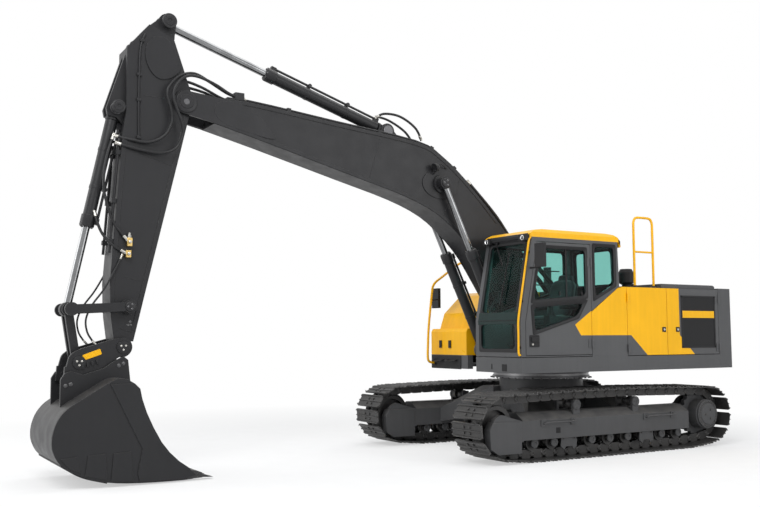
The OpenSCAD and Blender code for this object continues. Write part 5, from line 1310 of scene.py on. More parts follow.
# Arm: outlines and lines of its side view in the model's frame
DROP_PLATE = [(5.800, 4.965), (5.885, 4.850), (5.885, 4.680), (5.815, 4.545), (5.720, 4.485), (5.600, 4.510),
              (5.510, 4.585), (5.485, 4.655), (5.565, 4.860), (5.665, 4.975)]
ARM_SEAMS = [[(5.921, 4.268), (5.640, 4.272)], [(5.945, 3.604), (5.549, 3.493)],
             [(6.075, 2.205), (5.880, 2.160)], [(6.120, 1.640), (5.985, 1.600)],
             [(5.935, 4.860), (5.940, 4.256), (5.928, 3.661)]]
ARM_REAR_SHARES = [(0.055, -0.012), (0.19, -0.013), (0.50, -0.015), (0.75, -0.016), (0.93, -0.018)]
ARM_FRONT_SHARES = [(0.215, 0.185), (0.40, 0.155), (0.60, 0.118), (0.778, 0.088), (0.88, 0.060)]
ARM_TIP_BOLTS = [(6.005, 1.715), (6.025, 1.680), (5.995, 1.680)]
ARM_PIVOT_CAP = [(-0.012, 0.056), (0.004, 0.056), (0.008, 0.050), (0.008, 0.004)]
CURL_BRACKET = [(5.960, 4.950), (6.040, 4.890), (6.098, 4.745), (6.300, 4.095), (6.284, 4.020),
                (6.190, 4.000), (6.105, 3.930), (6.050, 4.100), (6.040, 4.780)]
ARM_CROWN = [(5.915, 5.018), (5.849, 5.102), (5.752, 5.188), (5.650, 5.268), (5.580, 5.270), (5.530, 5.215),
             (5.530, 5.000), (5.620, 4.900), (5.860, 4.900)]
CROWN_NEAR = 0.0505
CROWN_FAR = 0.0925
ARM_PIPE = [(5.900, 4.985), (5.935, 4.900), (5.958, 4.760), (5.963, 4.500), (5.963, 4.210), (5.955, 3.780)]
ARM_PIPE_R = 0.011
ARM_CLIP = 0.026


def make_arm_brackets():
    """Plates of the crown and of the bucket cylinder's bracket, and a pipe with its clips on each side."""
    plates, pipes = Shape(), Shape()
    for outline in (CURL_BRACKET, ARM_CROWN):
        both_faces(plates, pairs(outline), CROWN_NEAR, CROWN_FAR - CROWN_NEAR)
    line = flat_line(pairs(ARM_PIPE), 5)
    for y in (ARM_HALF + ARM_PIPE_R, -ARM_HALF - ARM_PIPE_R):
        pipes.tube([Vector((p.x, y, p.y)) for p in line], ARM_PIPE_R, 10)
    for x, z in ARM_PIPE[1:2] + ARM_PIPE[3:]:
        for y in (ARM_HALF, -ARM_HALF - ARM_CLIP):
            pipes.block((x - 0.024, y, z - 0.016), (x + 0.024, y + ARM_CLIP, z + 0.016), 0.004)
    plates.piece("arm_bracket_plates", charcoal_paint, "arm", bevel=0.003)
    pipes.piece("arm_side_pipes", charcoal_paint, "arm", bevel=0.002)


def make_arm_details():
    """Drop plate, flange strips, weld seams, bosses and bolts on the arm's side faces."""
    plates, beads, bosses, bolts = Shape(), Shape(), Shape(), Shape()
    drop = pairs(DROP_PLATE)
    both_faces(plates, flat_line(drop + drop[:1], 5)[:-1], ARM_HALF, 0.014)
    for seam in ARM_SEAMS:
        bead(beads, pairs(seam), ARM_HALF, 0.0035)
    rear = [arm_at(s) for s in ARM_REAR_SHARES]
    front = [arm_at(s) for s in ARM_FRONT_SHARES]
    both_faces(plates, shifted(rear, -0.046) + rear[::-1], ARM_HALF, 0.006)
    both_faces(plates, front + shifted(front, 0.048)[::-1], ARM_HALF, 0.006)
    for line in (rear, front):
        bead(beads, line, ARM_HALF + 0.002)
    boss(bosses, arm_at(CROWD_PIN_SHARE), 0.088, ARM_HALF)
    boss(bosses, pin_at("bucket_barrel_tilt"), 0.075, ARM_HALF + 0.028)
    pivot = PIN["rocker_turn"]
    for way in (1, -1):
        face = Vector((pivot.x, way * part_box("arm_pins")[1].y, pivot.z))
        bosses.lathe(face, (0, way, 0), ARM_PIVOT_CAP, 28)
        bolts.bolt_ring(face + Vector((0, way * 0.007, 0)), (0, way, 0), 0.028, 3, 0.008)
        for k, (x, z) in enumerate(ARM_TIP_BOLTS):
            bolts.bolt((x, way * ARM_HALF, z), (0, way, 0), 0.010 - 0.001 * k)
    plates.piece("arm_plates", charcoal_paint, "arm", bevel=0.002)
    beads.piece("arm_welds", charcoal_paint, "arm")
    bosses.piece("arm_bosses", charcoal_paint, "arm")
    bolts.piece("arm_bolts", pin_steel, "arm")


# Cylinders: plates as (along the barrel, to the left), clamps by shares of its length
PORT_PLATE = [(-0.034, -0.028), (0.034, -0.028), (0.034, 0.028), (-0.034, 0.028)]
CLAMP_PLATE = [(-0.02, -0.036), (0.02, -0.036), (0.02, 0.046), (-0.02, 0.046)]
CLAMP_SHARES = (0.34, 0.66)
CLAMP_WIDTH = 0.036
CLAMP_RISE = 0.042
ROD_EYE_IN = 0.022


def dress_cylinder(label, body, start, end, offsets, radius, length, over):
    """Gland, bolts, ports, pipe and clamps on a cylinder between two pins of the side plane."""
    run = (end - start).normalized()
    way = Vector((run.x, 0, run.y))
    rise = Vector((-run.y, 0, run.x)) * over
    steel, pipe, bolts = Shape(), Shape(), Shape()
    for y in offsets:
        foot = Vector((start.x, y, start.y))
        head = foot + way * length
        steel.lathe(head, way, [(-0.130, radius + 0.001), (-0.125, radius + 0.012), (-0.010, radius + 0.012),
                                (0.004, radius + 0.004), (0.010, 0.72 * radius), (0.006, 0.70 * radius)], 36)
        bolts.bolt_ring(head + way * 0.004, way, 0.87 * radius, 8, 0.0085)
        steel.lathe(foot + way * 0.10, way, [(0, radius - 0.004), (0.004, radius + 0.006),
                                             (0.030, radius + 0.006), (0.034, radius - 0.004)], 36)
        for share in CLAMP_SHARES:
            steel.lathe(foot + way * length * share, way,
                        [(0, radius + 0.004), (CLAMP_WIDTH, radius + 0.004)], 36)
        lift = rise * (radius + 0.030)
        ports = [foot + way * 0.175, foot + way * (length - 0.075)]
        for port in ports:
            corners = [port + rise * (radius - 0.012) + way * a + LEFT * b for a, b in PORT_PLATE]
            steel.prism(corners, rise * 0.062)
        line = [ports[0] + lift + way * 0.03, ports[0] + lift + way * 0.10 + LEFT * 0.010,
                ports[1] + lift - way * 0.10 + LEFT * 0.010, ports[1] + lift - way * 0.02]
        pipe.tube(smooth_line(line, 5), 0.0155, 12)
        for share in CLAMP_SHARES:
            at = foot + way * (length * share + CLAMP_WIDTH / 2) + rise * (radius + 0.010)
            steel.prism([at + way * a + LEFT * b for a, b in CLAMP_PLATE], rise * CLAMP_RISE)
            bolts.bolt(at + rise * CLAMP_RISE + LEFT * 0.030, rise, 0.008)
    steel.piece(f"{label}_gland_and_ports", charcoal_paint, body, bevel=0.002)
    pipe.piece(f"{label}_pipe", charcoal_paint, body)
    bolts.piece(f"{label}_bolts", pin_steel, body)


def cover_rod_eye(label, body, at, offsets, radius, half):
    """A painted eye round the pin at a rod's end."""
    eye = Shape()
    width = 2 * half
    profile = [(-0.003, radius - ROD_EYE_IN), (-0.003, radius - 0.004), (0.001, radius + 0.003),
               (width - 0.001, radius + 0.003), (width + 0.003, radius - 0.004),
               (width + 0.003, radius - ROD_EYE_IN)]
    for y in offsets:
        eye.lathe((at.x, y - half, at.y), LEFT, profile, 34)
    eye.piece(f"{label}_eye", charcoal_paint, body)


def make_cylinder_details():
    lift_base, lift_pin = pin_at("boom_barrel_tilt"), boom_at(LIFT_PIN_SHARE)
    crowd_base, crowd_pin = pin_at("arm_barrel_tilt"), arm_at(CROWD_PIN_SHARE)
    curl_base, curl_pin = pin_at("bucket_barrel_tilt"), pin_at("h_link_turn")
    pair = (LIFT_Y, -LIFT_Y)
    middle = (0.0,)
    dress_cylinder("lift_cylinder", "boom_barrels", lift_base, lift_pin, pair, 0.070, 1.490, 1)
    dress_cylinder("crowd_cylinder", "arm_barrel", crowd_base, crowd_pin, middle, 0.076, 1.800, 1)
    dress_cylinder("curl_cylinder", "bucket_barrel", curl_base, curl_pin, middle, 0.068, 1.370, -1)
    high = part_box("boom_rods")[1]
    cover_rod_eye("lift_rod", "boom_rods", lift_pin, pair, 0.078, high.y - LIFT_Y)
    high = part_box("arm_rod")[1]
    cover_rod_eye("crowd_rod", "arm_rod", crowd_pin, middle, high.z - crowd_pin.y, high.y)
    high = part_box("bucket_rod")[1]
    cover_rod_eye("curl_rod", "bucket_rod", curl_pin, middle, high.x - curl_pin.x, high.y)


# Bucket: side outline in the model's frame, from the lip round the heel to the top, then down the mouth
BUCKET_BACK = [(5.339, 0.031), (5.504, 0.014), (5.989, 0.021), (6.319, 0.053), (6.577, 0.130), (6.785, 0.255),
               (6.868, 0.390), (6.885, 0.500), (6.870, 0.610), (6.824, 0.722), (6.735, 0.825), (6.585, 0.920),
               (6.435, 1.010), (6.317, 1.080), (6.226, 1.116), (6.134, 1.108)]
BUCKET_MOUTH = [(6.060, 1.062), (6.000, 1.005), (5.974, 0.891), (5.924, 0.750), (5.850, 0.593),
                (5.759, 0.434), (5.669, 0.320), (5.563, 0.220), (5.463, 0.151)]
BUCKET_EAR = [(6.745, 0.795), (6.747, 1.105), (6.705, 1.172), (6.640, 1.192), (6.575, 1.170), (6.515, 1.152),
              (6.300, 1.215), (6.215, 1.278), (6.090, 1.340), (6.040, 1.300), (6.012, 1.070), (6.060, 1.040),
              (6.134, 1.085), (6.226, 1.094), (6.317, 1.058), (6.435, 0.988), (6.585, 0.898)]
BUCKET_WALL = 0.025
EAR_NEAR = 0.217
EAR_FAR = 0.253
HOOK_PINS = [(6.2148, 1.2260), (6.6313, 1.1410)]
HOOK_PIN_R = 0.038
FRONT_PIN_NEAR = 0.171
SIDE_SEAM = [(5.370, 0.060), (5.504, 0.026), (5.985, 0.034), (6.010, 0.123), (5.961, 0.373), (6.311, 1.060)]
WEAR_PLATES = [[(6.800, 0.322), (6.632, 0.338), (6.588, 0.168), (6.700, 0.212)],
               [(6.526, 0.340), (6.345, 0.350), (6.325, 0.078), (6.552, 0.136)],
               [(6.265, 0.345), (6.085, 0.357), (6.050, 0.045), (6.288, 0.062)]]
EAR_BOLTS = [(6.697, 1.040), (6.642, 1.054), (6.142, 1.240), (6.094, 1.262)]
ADAPTER = [(5.470, 0.024), (5.462, 0.118), (5.370, 0.108), (5.305, 0.082), (5.298, 0.026)]
ADAPTER_PIN = (5.345, 0.066)
TOOTH_COUNT = 5
TOOTH_W = 0.090


def make_bucket_body():
    """The bucket's shell, side plates, ears and hook pins."""
    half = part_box("bucket")[1].y
    body = Shape()
    back = flat_line(pairs(BUCKET_BACK), 3)
    body.slab(back + shifted(back, BUCKET_WALL)[::-1], -half + BUCKET_WALL, half - BUCKET_WALL)
    both_faces(body, back + pairs(BUCKET_MOUTH), half - BUCKET_WALL, BUCKET_WALL)
    both_faces(body, pairs(BUCKET_EAR), EAR_NEAR, EAR_FAR - EAR_NEAR)
    (x, z), (front_x, front_z) = HOOK_PINS
    body.lathe((x, -EAR_NEAR, z), LEFT, [(0, HOOK_PIN_R), (2 * EAR_NEAR, HOOK_PIN_R)], 28)
    for way in (1, -1):
        body.lathe((front_x, way * FRONT_PIN_NEAR, front_z), (0, way, 0),
                   [(0, HOOK_PIN_R), (EAR_NEAR - FRONT_PIN_NEAR, HOOK_PIN_R)], 28)
    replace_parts(body.piece("bucket_body", charcoal_paint, "bucket", bevel=0.004), "bucket")


def make_bucket_details():
    """Side, wear and heel plates, weld beads, the ears' bolts and the teeth's adapters."""
    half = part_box("bucket")[1].y
    plates, beads, bolts, tips = Shape(), Shape(), Shape(), Shape()
    both_faces(plates, pairs(SIDE_SEAM + BUCKET_MOUTH), half, 0.012)
    for outline in WEAR_PLATES:
        both_faces(plates, pairs(outline), half, 0.010)
    heel = flat_line(pairs(BUCKET_BACK[3:6]), 5)
    plates.slab(shifted(heel, -0.012) + heel[::-1], -half + 0.012, half - 0.012)
    bead(beads, pairs(SIDE_SEAM[3:]), half + 0.004, 0.005)
    for x, z in EAR_BOLTS:
        for way in (1, -1):
            bolts.bolt((x, way * EAR_FAR, z), (0, way, 0), 0.014)
    pitch = (2 * half - TOOTH_W) / (TOOTH_COUNT - 1)
    wide = TOOTH_W / 2 + 0.012
    for k in range(TOOTH_COUNT):
        y = -half + k * pitch + TOOTH_W / 2
        y = max(min(y, half - wide + 0.005), -half + wide - 0.005)
        tips.slab(pairs(ADAPTER), y - wide, y + wide)
        tips.lathe((ADAPTER_PIN[0], y - wide - 0.006, ADAPTER_PIN[1]), LEFT,
                   [(0, 0.016), (0.004, 0.016), (2 * wide + 0.008, 0.016), (2 * wide + 0.012, 0.012)], 16)
    plates.piece("bucket_plates", charcoal_paint, "bucket", bevel=0.003)
    beads.piece("bucket_welds", charcoal_paint, "bucket")
    bolts.piece("bucket_bolts", pin_steel, "bucket")
    tips.piece("tooth_adapters", wear_steel, "bucket", bevel=0.005)


COUPLER_PLATE = [(6.505, 1.300), (6.522, 1.357), (6.335, 1.424), (6.316, 1.364)]
COUPLER_CHEEK = [(6.655, 1.350), (6.600, 1.398), (6.540, 1.425), (6.262, 1.505), (6.150, 1.536),
                 (6.060, 1.530), (6.000, 1.480), (5.995, 1.415), (6.040, 1.358), (6.110, 1.340),
                 (6.194, 1.290), (6.279, 1.218), (6.502, 1.152), (6.690, 1.112), (6.705, 1.150)]
CHEEK_NEAR = 0.172
CHEEK_FAR = 0.2115
COUPLER_RIBS = [(6.512, 1.215), (6.462, 1.232), (6.412, 1.248), (6.362, 1.262)]
COUPLER_RIB = [(-0.011, 0.0), (0.011, -0.004), (0.020, 0.042), (-0.002, 0.046)]
LINK_LOW = Vector((6.5525, 1.2783))
COUPLER_CAP = [(-0.002, 0.060), (0.0015, 0.060), (0.0025, 0.055), (0.0025, 0.004)]
COUPLER_BOLT = [(0, 0.0115), (0.004, 0.0115), (0.005, 0.009)]
COUPLER_BOLT_TURNS = (0.5, 2.6, 4.7)
COUPLER_RAM = [(0, 0.030), (0.01, 0.044), (0.16, 0.044), (0.17, 0.030), (0.26, 0.028)]


def make_coupler_details():
    """Pin caps with bolts, cheeks, the bare plate and ribs on the cheeks, and the ram between them."""
    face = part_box("quick_coupler")[1].y
    bolts, caps, cheeks, plate, ribs, ram = Shape(), Shape(), Shape(), Shape(), Shape(), Shape()
    for at in (pin_at("bucket_curl"), LINK_LOW):
        for way in (1, -1):
            spot = Vector((at.x, way * face, at.y))
            caps.lathe(spot, (0, way, 0), COUPLER_CAP, 30)
            for turn in COUPLER_BOLT_TURNS:
                head = spot + 0.029 * Vector((math.cos(turn), 0, math.sin(turn)))
                bolts.lathe(head, (0, way, 0), COUPLER_BOLT, 12)
    both_faces(cheeks, rounded_outline(pairs(COUPLER_CHEEK), 0.03, 4), CHEEK_NEAR, CHEEK_FAR - CHEEK_NEAR)
    cheeks.piece("coupler_cheeks", charcoal_paint, "bucket", bevel=0.003)
    both_faces(plate, rounded_outline(pairs(COUPLER_PLATE), 0.012, 3), CHEEK_FAR, 0.004)
    for x, z in COUPLER_RIBS:
        both_faces(ribs, [Vector((x + dx, z + dz)) for dx, dz in COUPLER_RIB], face - 0.014, 0.022)
    caps.piece("coupler_caps", charcoal_paint, "bucket")
    bolts.piece("coupler_bolts", zinc, "bucket")
    plate.piece("coupler_blank_plate", yellow_paint, "bucket", bevel=0.001)
    ribs.piece("coupler_ribs", charcoal_paint, "bucket", bevel=0.003)
    ram.lathe((6.236, 0.0, 1.309), Vector((0.34, 0, -0.13)), COUPLER_RAM, 22)
    ram.piece("coupler_ram", rod_chrome, "bucket")


# Hoses: each list is a route from the first body to the second
NOSE_HOSE_LOW = [(4.660, 0.150, 4.383), (4.860, 0.165, 4.420), (5.060, 0.200, 4.500), (5.290, 0.255, 4.550),
                 (5.446, 0.275, 4.530), (5.560, 0.285, 4.416), (5.596, 0.285, 4.279), (5.545, 0.285, 4.115),
                 (5.486, 0.280, 3.971), (5.474, 0.270, 3.841), (5.548, 0.250, 3.683), (5.698, 0.225, 3.621),
                 (5.884, 0.200, 3.630), (6.084, 0.185, 3.665), (6.205, 0.150, 3.700)]
NOSE_HOSE_HIGH = [(4.660, 0.110, 4.383), (4.880, 0.115, 4.440), (5.120, 0.140, 4.545), (5.320, 0.190, 4.600),
                  (5.500, 0.225, 4.540), (5.630, 0.240, 4.400), (5.655, 0.245, 4.290), (5.609, 0.245, 4.135),
                  (5.597, 0.240, 3.985), (5.670, 0.225, 3.827), (5.836, 0.205, 3.734), (6.020, 0.185, 3.742),
                  (6.166, 0.140, 3.772), (6.215, 0.105, 3.800)]
CURL_HOSE_BASE = [(6.212, 0.105, 3.800), (6.276, 0.120, 3.598), (6.315, 0.125, 3.357), (6.310, 0.130, 3.140),
                  (6.223, 0.150, 2.838), (6.120, 0.190, 2.680), (6.062, 0.205, 2.612)]
CURL_HOSE_ROD = [(6.395, 0.060, 2.930), (6.370, 0.100, 2.800), (6.310, 0.135, 2.660), (6.200, 0.180, 2.540),
                 (6.075, 0.200, 2.470)]
COUPLER_HOSE = [(6.105, 0.172, 2.460), (6.190, 0.190, 2.280), (6.310, 0.198, 2.060), (6.430, 0.199, 1.890),
                (6.490, 0.199, 1.740), (6.476, 0.199, 1.610), (6.425, 0.197, 1.520), (6.372, 0.192, 1.462)]
FOOT_HOSE = [(-0.290, 1.740), (-0.300, 1.960), (-0.200, 2.200), (0.080, 2.480)]
FOOT_HOSE_LANES = (-0.135, -0.080, 0.080, 0.135)
HOSE_R = 0.0175


def ferrule(shape, line, radius, length=0.062):
    """A crimped end and a nut at a hose's end."""
    at, way = Vector(line[-1]), (Vector(line[-2]) - Vector(line[-1])).normalized()
    shape.lathe(at, way, [(-0.004, 1.25 * radius), (0.018, 1.25 * radius)], 6)
    shape.lathe(at, way, [(0.018, 1.12 * radius), (0.022, 1.28 * radius), (length, 1.28 * radius),
                          (length + 0.004, 1.02 * radius)], 14)


def hose(label, routes, a, b, radius=HOSE_R):
    """Curved hoses over the joint between two bodies; their ends get fittings on those bodies."""
    tubes, heads, tails = Shape(), Shape(), Shape()
    for route in routes:
        line = smooth_line(route, 9)
        tubes.tube(line, radius, 12)
        ferrule(heads, line[::-1], radius)
        ferrule(tails, line, radius)
    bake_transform(tubes.piece(label, hose_rubber, None))
    heads.piece(f"{label}_start_fittings", zinc, a)
    tails.piece(f"{label}_end_fittings", zinc, b)


def mirror_route(route):
    return [(x, -y, z) for x, y, z in route]


def make_arm_hoses():
    """Hoses over the boom's nose, to the bucket cylinder and to the coupler."""
    routes = [NOSE_HOSE_LOW, NOSE_HOSE_HIGH, mirror_route(NOSE_HOSE_LOW), mirror_route(NOSE_HOSE_HIGH)]
    hose("nose_hoses", routes, "boom", "arm")
    routes = [CURL_HOSE_ROD[::-1], CURL_HOSE_BASE[::-1]]
    hose("curl_hoses", routes, "arm", "bucket_barrel", 0.0155)
    routes = [COUPLER_HOSE, mirror_route(COUPLER_HOSE)]
    hose("coupler_hoses", routes, "arm", "bucket", 0.0105)


def make_boom_hoses():
    """Hoses up to the boom's back, to the arm cylinder and to the boom cylinders."""
    first, second, third = boom_at((0.115, 0.122)), boom_at((0.210, 0.166)), boom_at((0.318, 0.203))
    lane = FOOT_HOSE + [(first.x, first.y + 0.03), (second.x, second.y + 0.02), (third.x, third.y + 0.005)]
    routes = [[(x, y, z) for x, z in lane] for y in FOOT_HOSE_LANES]
    hose("foot_hoses", routes, "upper", "boom", 0.021)
    crowd = PIN["arm_barrel_tilt"]
    routes = [[(crowd.x - 0.52, 1.8 * y, crowd.z - 0.075), (crowd.x - 0.40, 2.2 * y, crowd.z + 0.08),
               (crowd.x - 0.16, 2.3 * y, crowd.z + 0.20), (crowd.x + 0.06, 1.6 * y, crowd.z + 0.22),
               (crowd.x + 0.15, 0.4 * y, crowd.z + 0.165)] for y in (0.060, -0.060)]
    hose("crowd_hoses", routes, "boom", "arm_barrel", 0.016)
    lift = PIN["boom_barrel_tilt"]
    routes = [[(lift.x - 0.42, side * 0.250, lift.z + 0.235), (lift.x - 0.30, side * 0.285, lift.z + 0.30),
               (lift.x - 0.14, side * 0.300, lift.z + 0.30), (lift.x - 0.02, side * LIFT_Y, lift.z + 0.245)]
              for side in (1, -1)]
    hose("lift_hoses", routes, "upper", "boom_barrels", 0.016)


VALVE_OUT = 0.060
VALVE_NUT = [(0, 0.019), (0.020, 0.019), (0.024, 0.012), (0.036, 0.012)]
VALVE_STUB = [(0, 0.021), (0.030, 0.021), (0.034, 0.015), (0.055, 0.015)]
NOSE_CLAMP_SHARE = (0.905, 0.073)


def make_valves():
    """Brass shut-off valves on the arm and the pipe clamps at the boom's nose."""
    body, fittings, clamps = Shape(), Shape(), Shape()
    for way in (1, -1):
        low, high = sorted((way * ARM_HALF, way * (ARM_HALF + VALVE_OUT)))
        body.block((6.010, low, 2.545), (6.070, high, 2.640), 0.006)
        body.block((6.020, low, 2.420), (6.080, high, 2.500), 0.006)
        for x, z in ((6.040, 2.592), (6.050, 2.460)):
            fittings.lathe((x, way * (ARM_HALF + VALVE_OUT), z), (0, way, 0), VALVE_NUT, 6)
        fittings.lathe((6.040, way * (ARM_HALF + VALVE_OUT / 2), 2.640), UP, VALVE_STUB, 6)
    body.piece("arm_valves", brass, "arm", bevel=0.004)
    fittings.piece("arm_valve_fittings", zinc, "arm")
    at = boom_at(NOSE_CLAMP_SHARE)
    for y in (0.130, -0.130):
        clamps.block((at.x - 0.06, y - 0.055, at.y - 0.045), (at.x + 0.06, y + 0.055, at.y + 0.050), 0.008)
    clamps.piece("boom_nose_clamps", charcoal_paint, "boom", bevel=0.004)


BOOM_LAMP_SHARE = (0.425, 0.175)


def make_boom_lamp():
    at = boom_at(BOOM_LAMP_SHARE)
    spot = Vector((at.x, BOOM_HALF + 0.075, at.y))
    case, bowl, lens, cable = Shape(), Shape(), Shape(), Shape()
    way = Vector((0.94, 0.15, -0.30)).normalized()
    case.lathe(spot, way, [(-0.060, 0.012), (-0.050, 0.034), (-0.020, 0.055), (0.022, 0.060), (0.026, 0.056)],
               28)
    case.tube([spot - way * 0.02, spot + Vector((0, -0.02, -0.070)),
               Vector((at.x, BOOM_HALF - 0.002, at.y - 0.080))], 0.010, 8)
    bowl.lathe(spot, way, [(0.018, 0.054), (0.022, 0.053), (0.012, 0.030), (0.004, 0.004)], 28)
    lens.lathe(spot, way, [(0.022, 0.054), (0.028, 0.044), (0.031, 0.022), (0.0315, 0.001)], 28)
    far = boom_at((0.395, 0.203))
    cable.tube(smooth_line([spot - way * 0.055, spot - way * 0.11 + UP * 0.03,
                            Vector((far.x, BOOM_HALF + 0.012, far.y - 0.06)),
                            Vector((far.x - 0.02, BOOM_HALF - 0.03, far.y + 0.012))], 7), 0.007, 8)
    case.piece("boom_lamp", black_plastic, "boom")
    bowl.piece("boom_lamp_bowl", lamp_bowl, "boom")
    lens.piece("boom_lamp_lens", lens_glass, "boom")
    cable.piece("boom_lamp_cable", hose_rubber, "boom")


# Body: grilles, locks, deck plates, tank and counterweight
GRILLE_X = (-2.140, -1.480)
GRILLE_Z = (1.390, 2.080)
GRILLE_BAR_Z = (1.790, 1.890)
GRILLE_UPRIGHTS = 46
GRILLE_ROWS = 48
WIRE_HALF = 0.0022
SIDE_LOCKS = [("left_front_door", -1.104, 1.626), ("left_rear_door", -1.376, 1.626)]
DECK_PLATES = [((-0.380, 0.520), (0.150, 1.180)), ((-1.080, 0.560), (-0.420, 0.880))]


def make_grilles():
    side_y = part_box("left_side_panel")[1].y
    for name, side in (("left_rear_door", 1), ("right_rear_door", -1)):
        net, bar, frame_bars = Shape(), Shape(), Shape()
        face = side * side_y

        def slab_y(near, far):
            return sorted((face + side * near, face + side * far))

        a, b = slab_y(-0.046, -0.042)
        net.block((GRILLE_X[0], a, GRILLE_Z[0]), (GRILLE_X[1], b, GRILLE_Z[1]))
        a, b = slab_y(-0.002, 0.003)
        for k in range(GRILLE_UPRIGHTS):
            x = GRILLE_X[0] + (GRILLE_X[1] - GRILLE_X[0]) * (k + 0.5) / GRILLE_UPRIGHTS
            net.block((x - WIRE_HALF, a, GRILLE_Z[0]), (x + WIRE_HALF, b, GRILLE_Z[1]))
        a, b = slab_y(-0.001, 0.004)
        for k in range(GRILLE_ROWS):
            z = GRILLE_Z[0] + (GRILLE_Z[1] - GRILLE_Z[0]) * (k + 0.5) / GRILLE_ROWS
            net.block((GRILLE_X[0], a, z - WIRE_HALF), (GRILLE_X[1], b, z + WIRE_HALF))
        a, b = slab_y(-0.001, 0.002)
        net.block((GRILLE_X[0] - 0.004, a, GRILLE_Z[0] - 0.004),
                  (GRILLE_X[1] + 0.004, b, GRILLE_Z[1] + 0.004))
        a, b = slab_y(0.0, 0.007)
        bar.block((GRILLE_X[0], a, GRILLE_BAR_Z[0]), (GRILLE_X[1], b, GRILLE_BAR_Z[1]))
        for x in (GRILLE_X[0] - 0.012, GRILLE_X[1] + 0.012):
            frame_bars.block((x - 0.013, a, GRILLE_Z[0] - 0.02), (x + 0.013, b, GRILLE_Z[1] + 0.02))
        for z in (GRILLE_Z[0] - 0.012, GRILLE_Z[1] + 0.012):
            frame_bars.block((GRILLE_X[0] - 0.024, a, z - 0.012), (GRILLE_X[1] + 0.024, b, z + 0.012))
        net.piece(f"{name}_net", black_plastic, name)
        bar.piece(f"{name}_bar", yellow_paint, name, bevel=0.002)
        frame_bars.piece(f"{name}_grille_frame", black_plastic, name, bevel=0.002)


LOCK_HALF = 0.034
LOCK_RISE = 0.008
LOCK_KEY = [(0, 0.017), (0.004, 0.017), (0.007, 0.013), (0.004, 0.006)]


def make_locks():
    """A lock and its key on each left-hand door, and on the right-hand one that matches."""
    side_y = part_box("left_side_panel")[1].y
    for name, x, z in SIDE_LOCKS:
        for side, door in ((1, name), (-1, name.replace("left", "right"))):
            if door not in NODES:
                continue
            case, key = Shape(), Shape()
            low = min(side * side_y, side * (side_y + LOCK_RISE))
            plate = rounded_plate(Vector((x, low, z)), FORWARD, UP, LOCK_HALF, LOCK_HALF, 0.008)
            case.prism(plate, (0, LOCK_RISE, 0))
            key.lathe((x, side * (side_y + LOCK_RISE), z), side * LEFT, LOCK_KEY, 20)
            case.piece(f"{door}_lock", black_plastic, door, bevel=0.002)
            key.piece(f"{door}_key", zinc, door)


HOOD_TOP = 2.264
HOOD_VENTS = 9
TANK_CAP = [(0, 0.075), (0.018, 0.075), (0.022, 0.066), (0.045, 0.062), (0.050, 0.050), (0.050, 0.004)]


def make_hood_parts():
    """Two rows of vents, latches and a grip on the engine hood."""
    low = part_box("engine_hood")[0]
    vents, latches = Shape(), Shape()
    for k in range(HOOD_VENTS):
        x = low.x + 0.20 + 0.052 * k
        for y in (-0.62, 0.62):
            vents.block((x, y - 0.34, HOOD_TOP - 0.002), (x + 0.028, y + 0.34, HOOD_TOP + 0.010), 0.006)
    for y in (-0.85, 0.85):
        latches.block((low.x - 0.002, y - 0.05, HOOD_TOP - 0.045), (low.x + 0.05, y + 0.05, HOOD_TOP + 0.012),
                      0.006)
    grip = [(low.x + 0.08, y, HOOD_TOP + rise)
            for y, rise in ((-0.16, 0), (-0.15, 0.045), (0.15, 0.045), (0.16, 0))]
    latches.tube(smooth_line(grip, 5), 0.009, 10)
    vents.piece("hood_vents", black_plastic, "engine_hood", bevel=0.003)
    latches.piece("hood_latches", black_plastic, "engine_hood", bevel=0.003)


def make_deck_plates():
    """Grip plates on the deck and the tank, and the tank's cap."""
    pads, caps = Shape(), Shape()
    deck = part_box("body_frame")[1].z
    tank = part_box("right_tank")[1].z
    for (x0, y0), (x1, y1) in DECK_PLATES:
        pads.block((x0, y0, deck - 0.001), (x1, y1, deck + 0.006), 0.02)
    pads.block((-0.26, -1.22, tank - 0.001), (0.20, -0.52, tank + 0.006), 0.02)
    pads.piece("grip_plates", grip_plate, "upper")
    caps.lathe((0.06, -0.66, tank + 0.004), UP, TANK_CAP, 32)
    caps.piece("tank_cap", black_plastic, "upper")


LIFT_EYE = [(-2.52, -0.01), (-2.50, 0.055), (-2.44, 0.075), (-2.38, 0.055), (-2.36, -0.01)]
LIFT_EYE_Y = 0.62
TAIL_LAMP_Y = 0.96
TAIL_LAMP_Z = 1.72


def make_counterweight_parts():
    """Lifting eyes on the counterweight's top and lamps on its round back."""
    low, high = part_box("counterweight")
    eyes, lamps, rims = Shape(), Shape(), Shape()
    for side in (-1, 1):
        arch = [(x, side * LIFT_EYE_Y, high.z + rise) for x, rise in LIFT_EYE]
        eyes.tube(smooth_line(arch, 6), 0.018, 12)
        y = side * TAIL_LAMP_Y
        x = -math.sqrt(abs(low.x) ** 2 - y * y)
        way = Vector((x, y, 0)).normalized()
        at = Vector((x, y, TAIL_LAMP_Z)) - way * 0.006
        u = Vector((-way.y, way.x, 0))
        rims.prism(rounded_plate(at, u, UP, 0.085, 0.045, 0.015), way * 0.016)
        lamps.prism(rounded_plate(at + way * 0.014, u, UP, 0.072, 0.034, 0.012), way * 0.008)
    eyes.piece("lifting_eyes", weight_paint, "upper")
    rims.piece("tail_lamp_rims", black_plastic, "upper", bevel=0.003)
    lamps.piece("tail_lamps", red_lens, "upper", bevel=0.003)


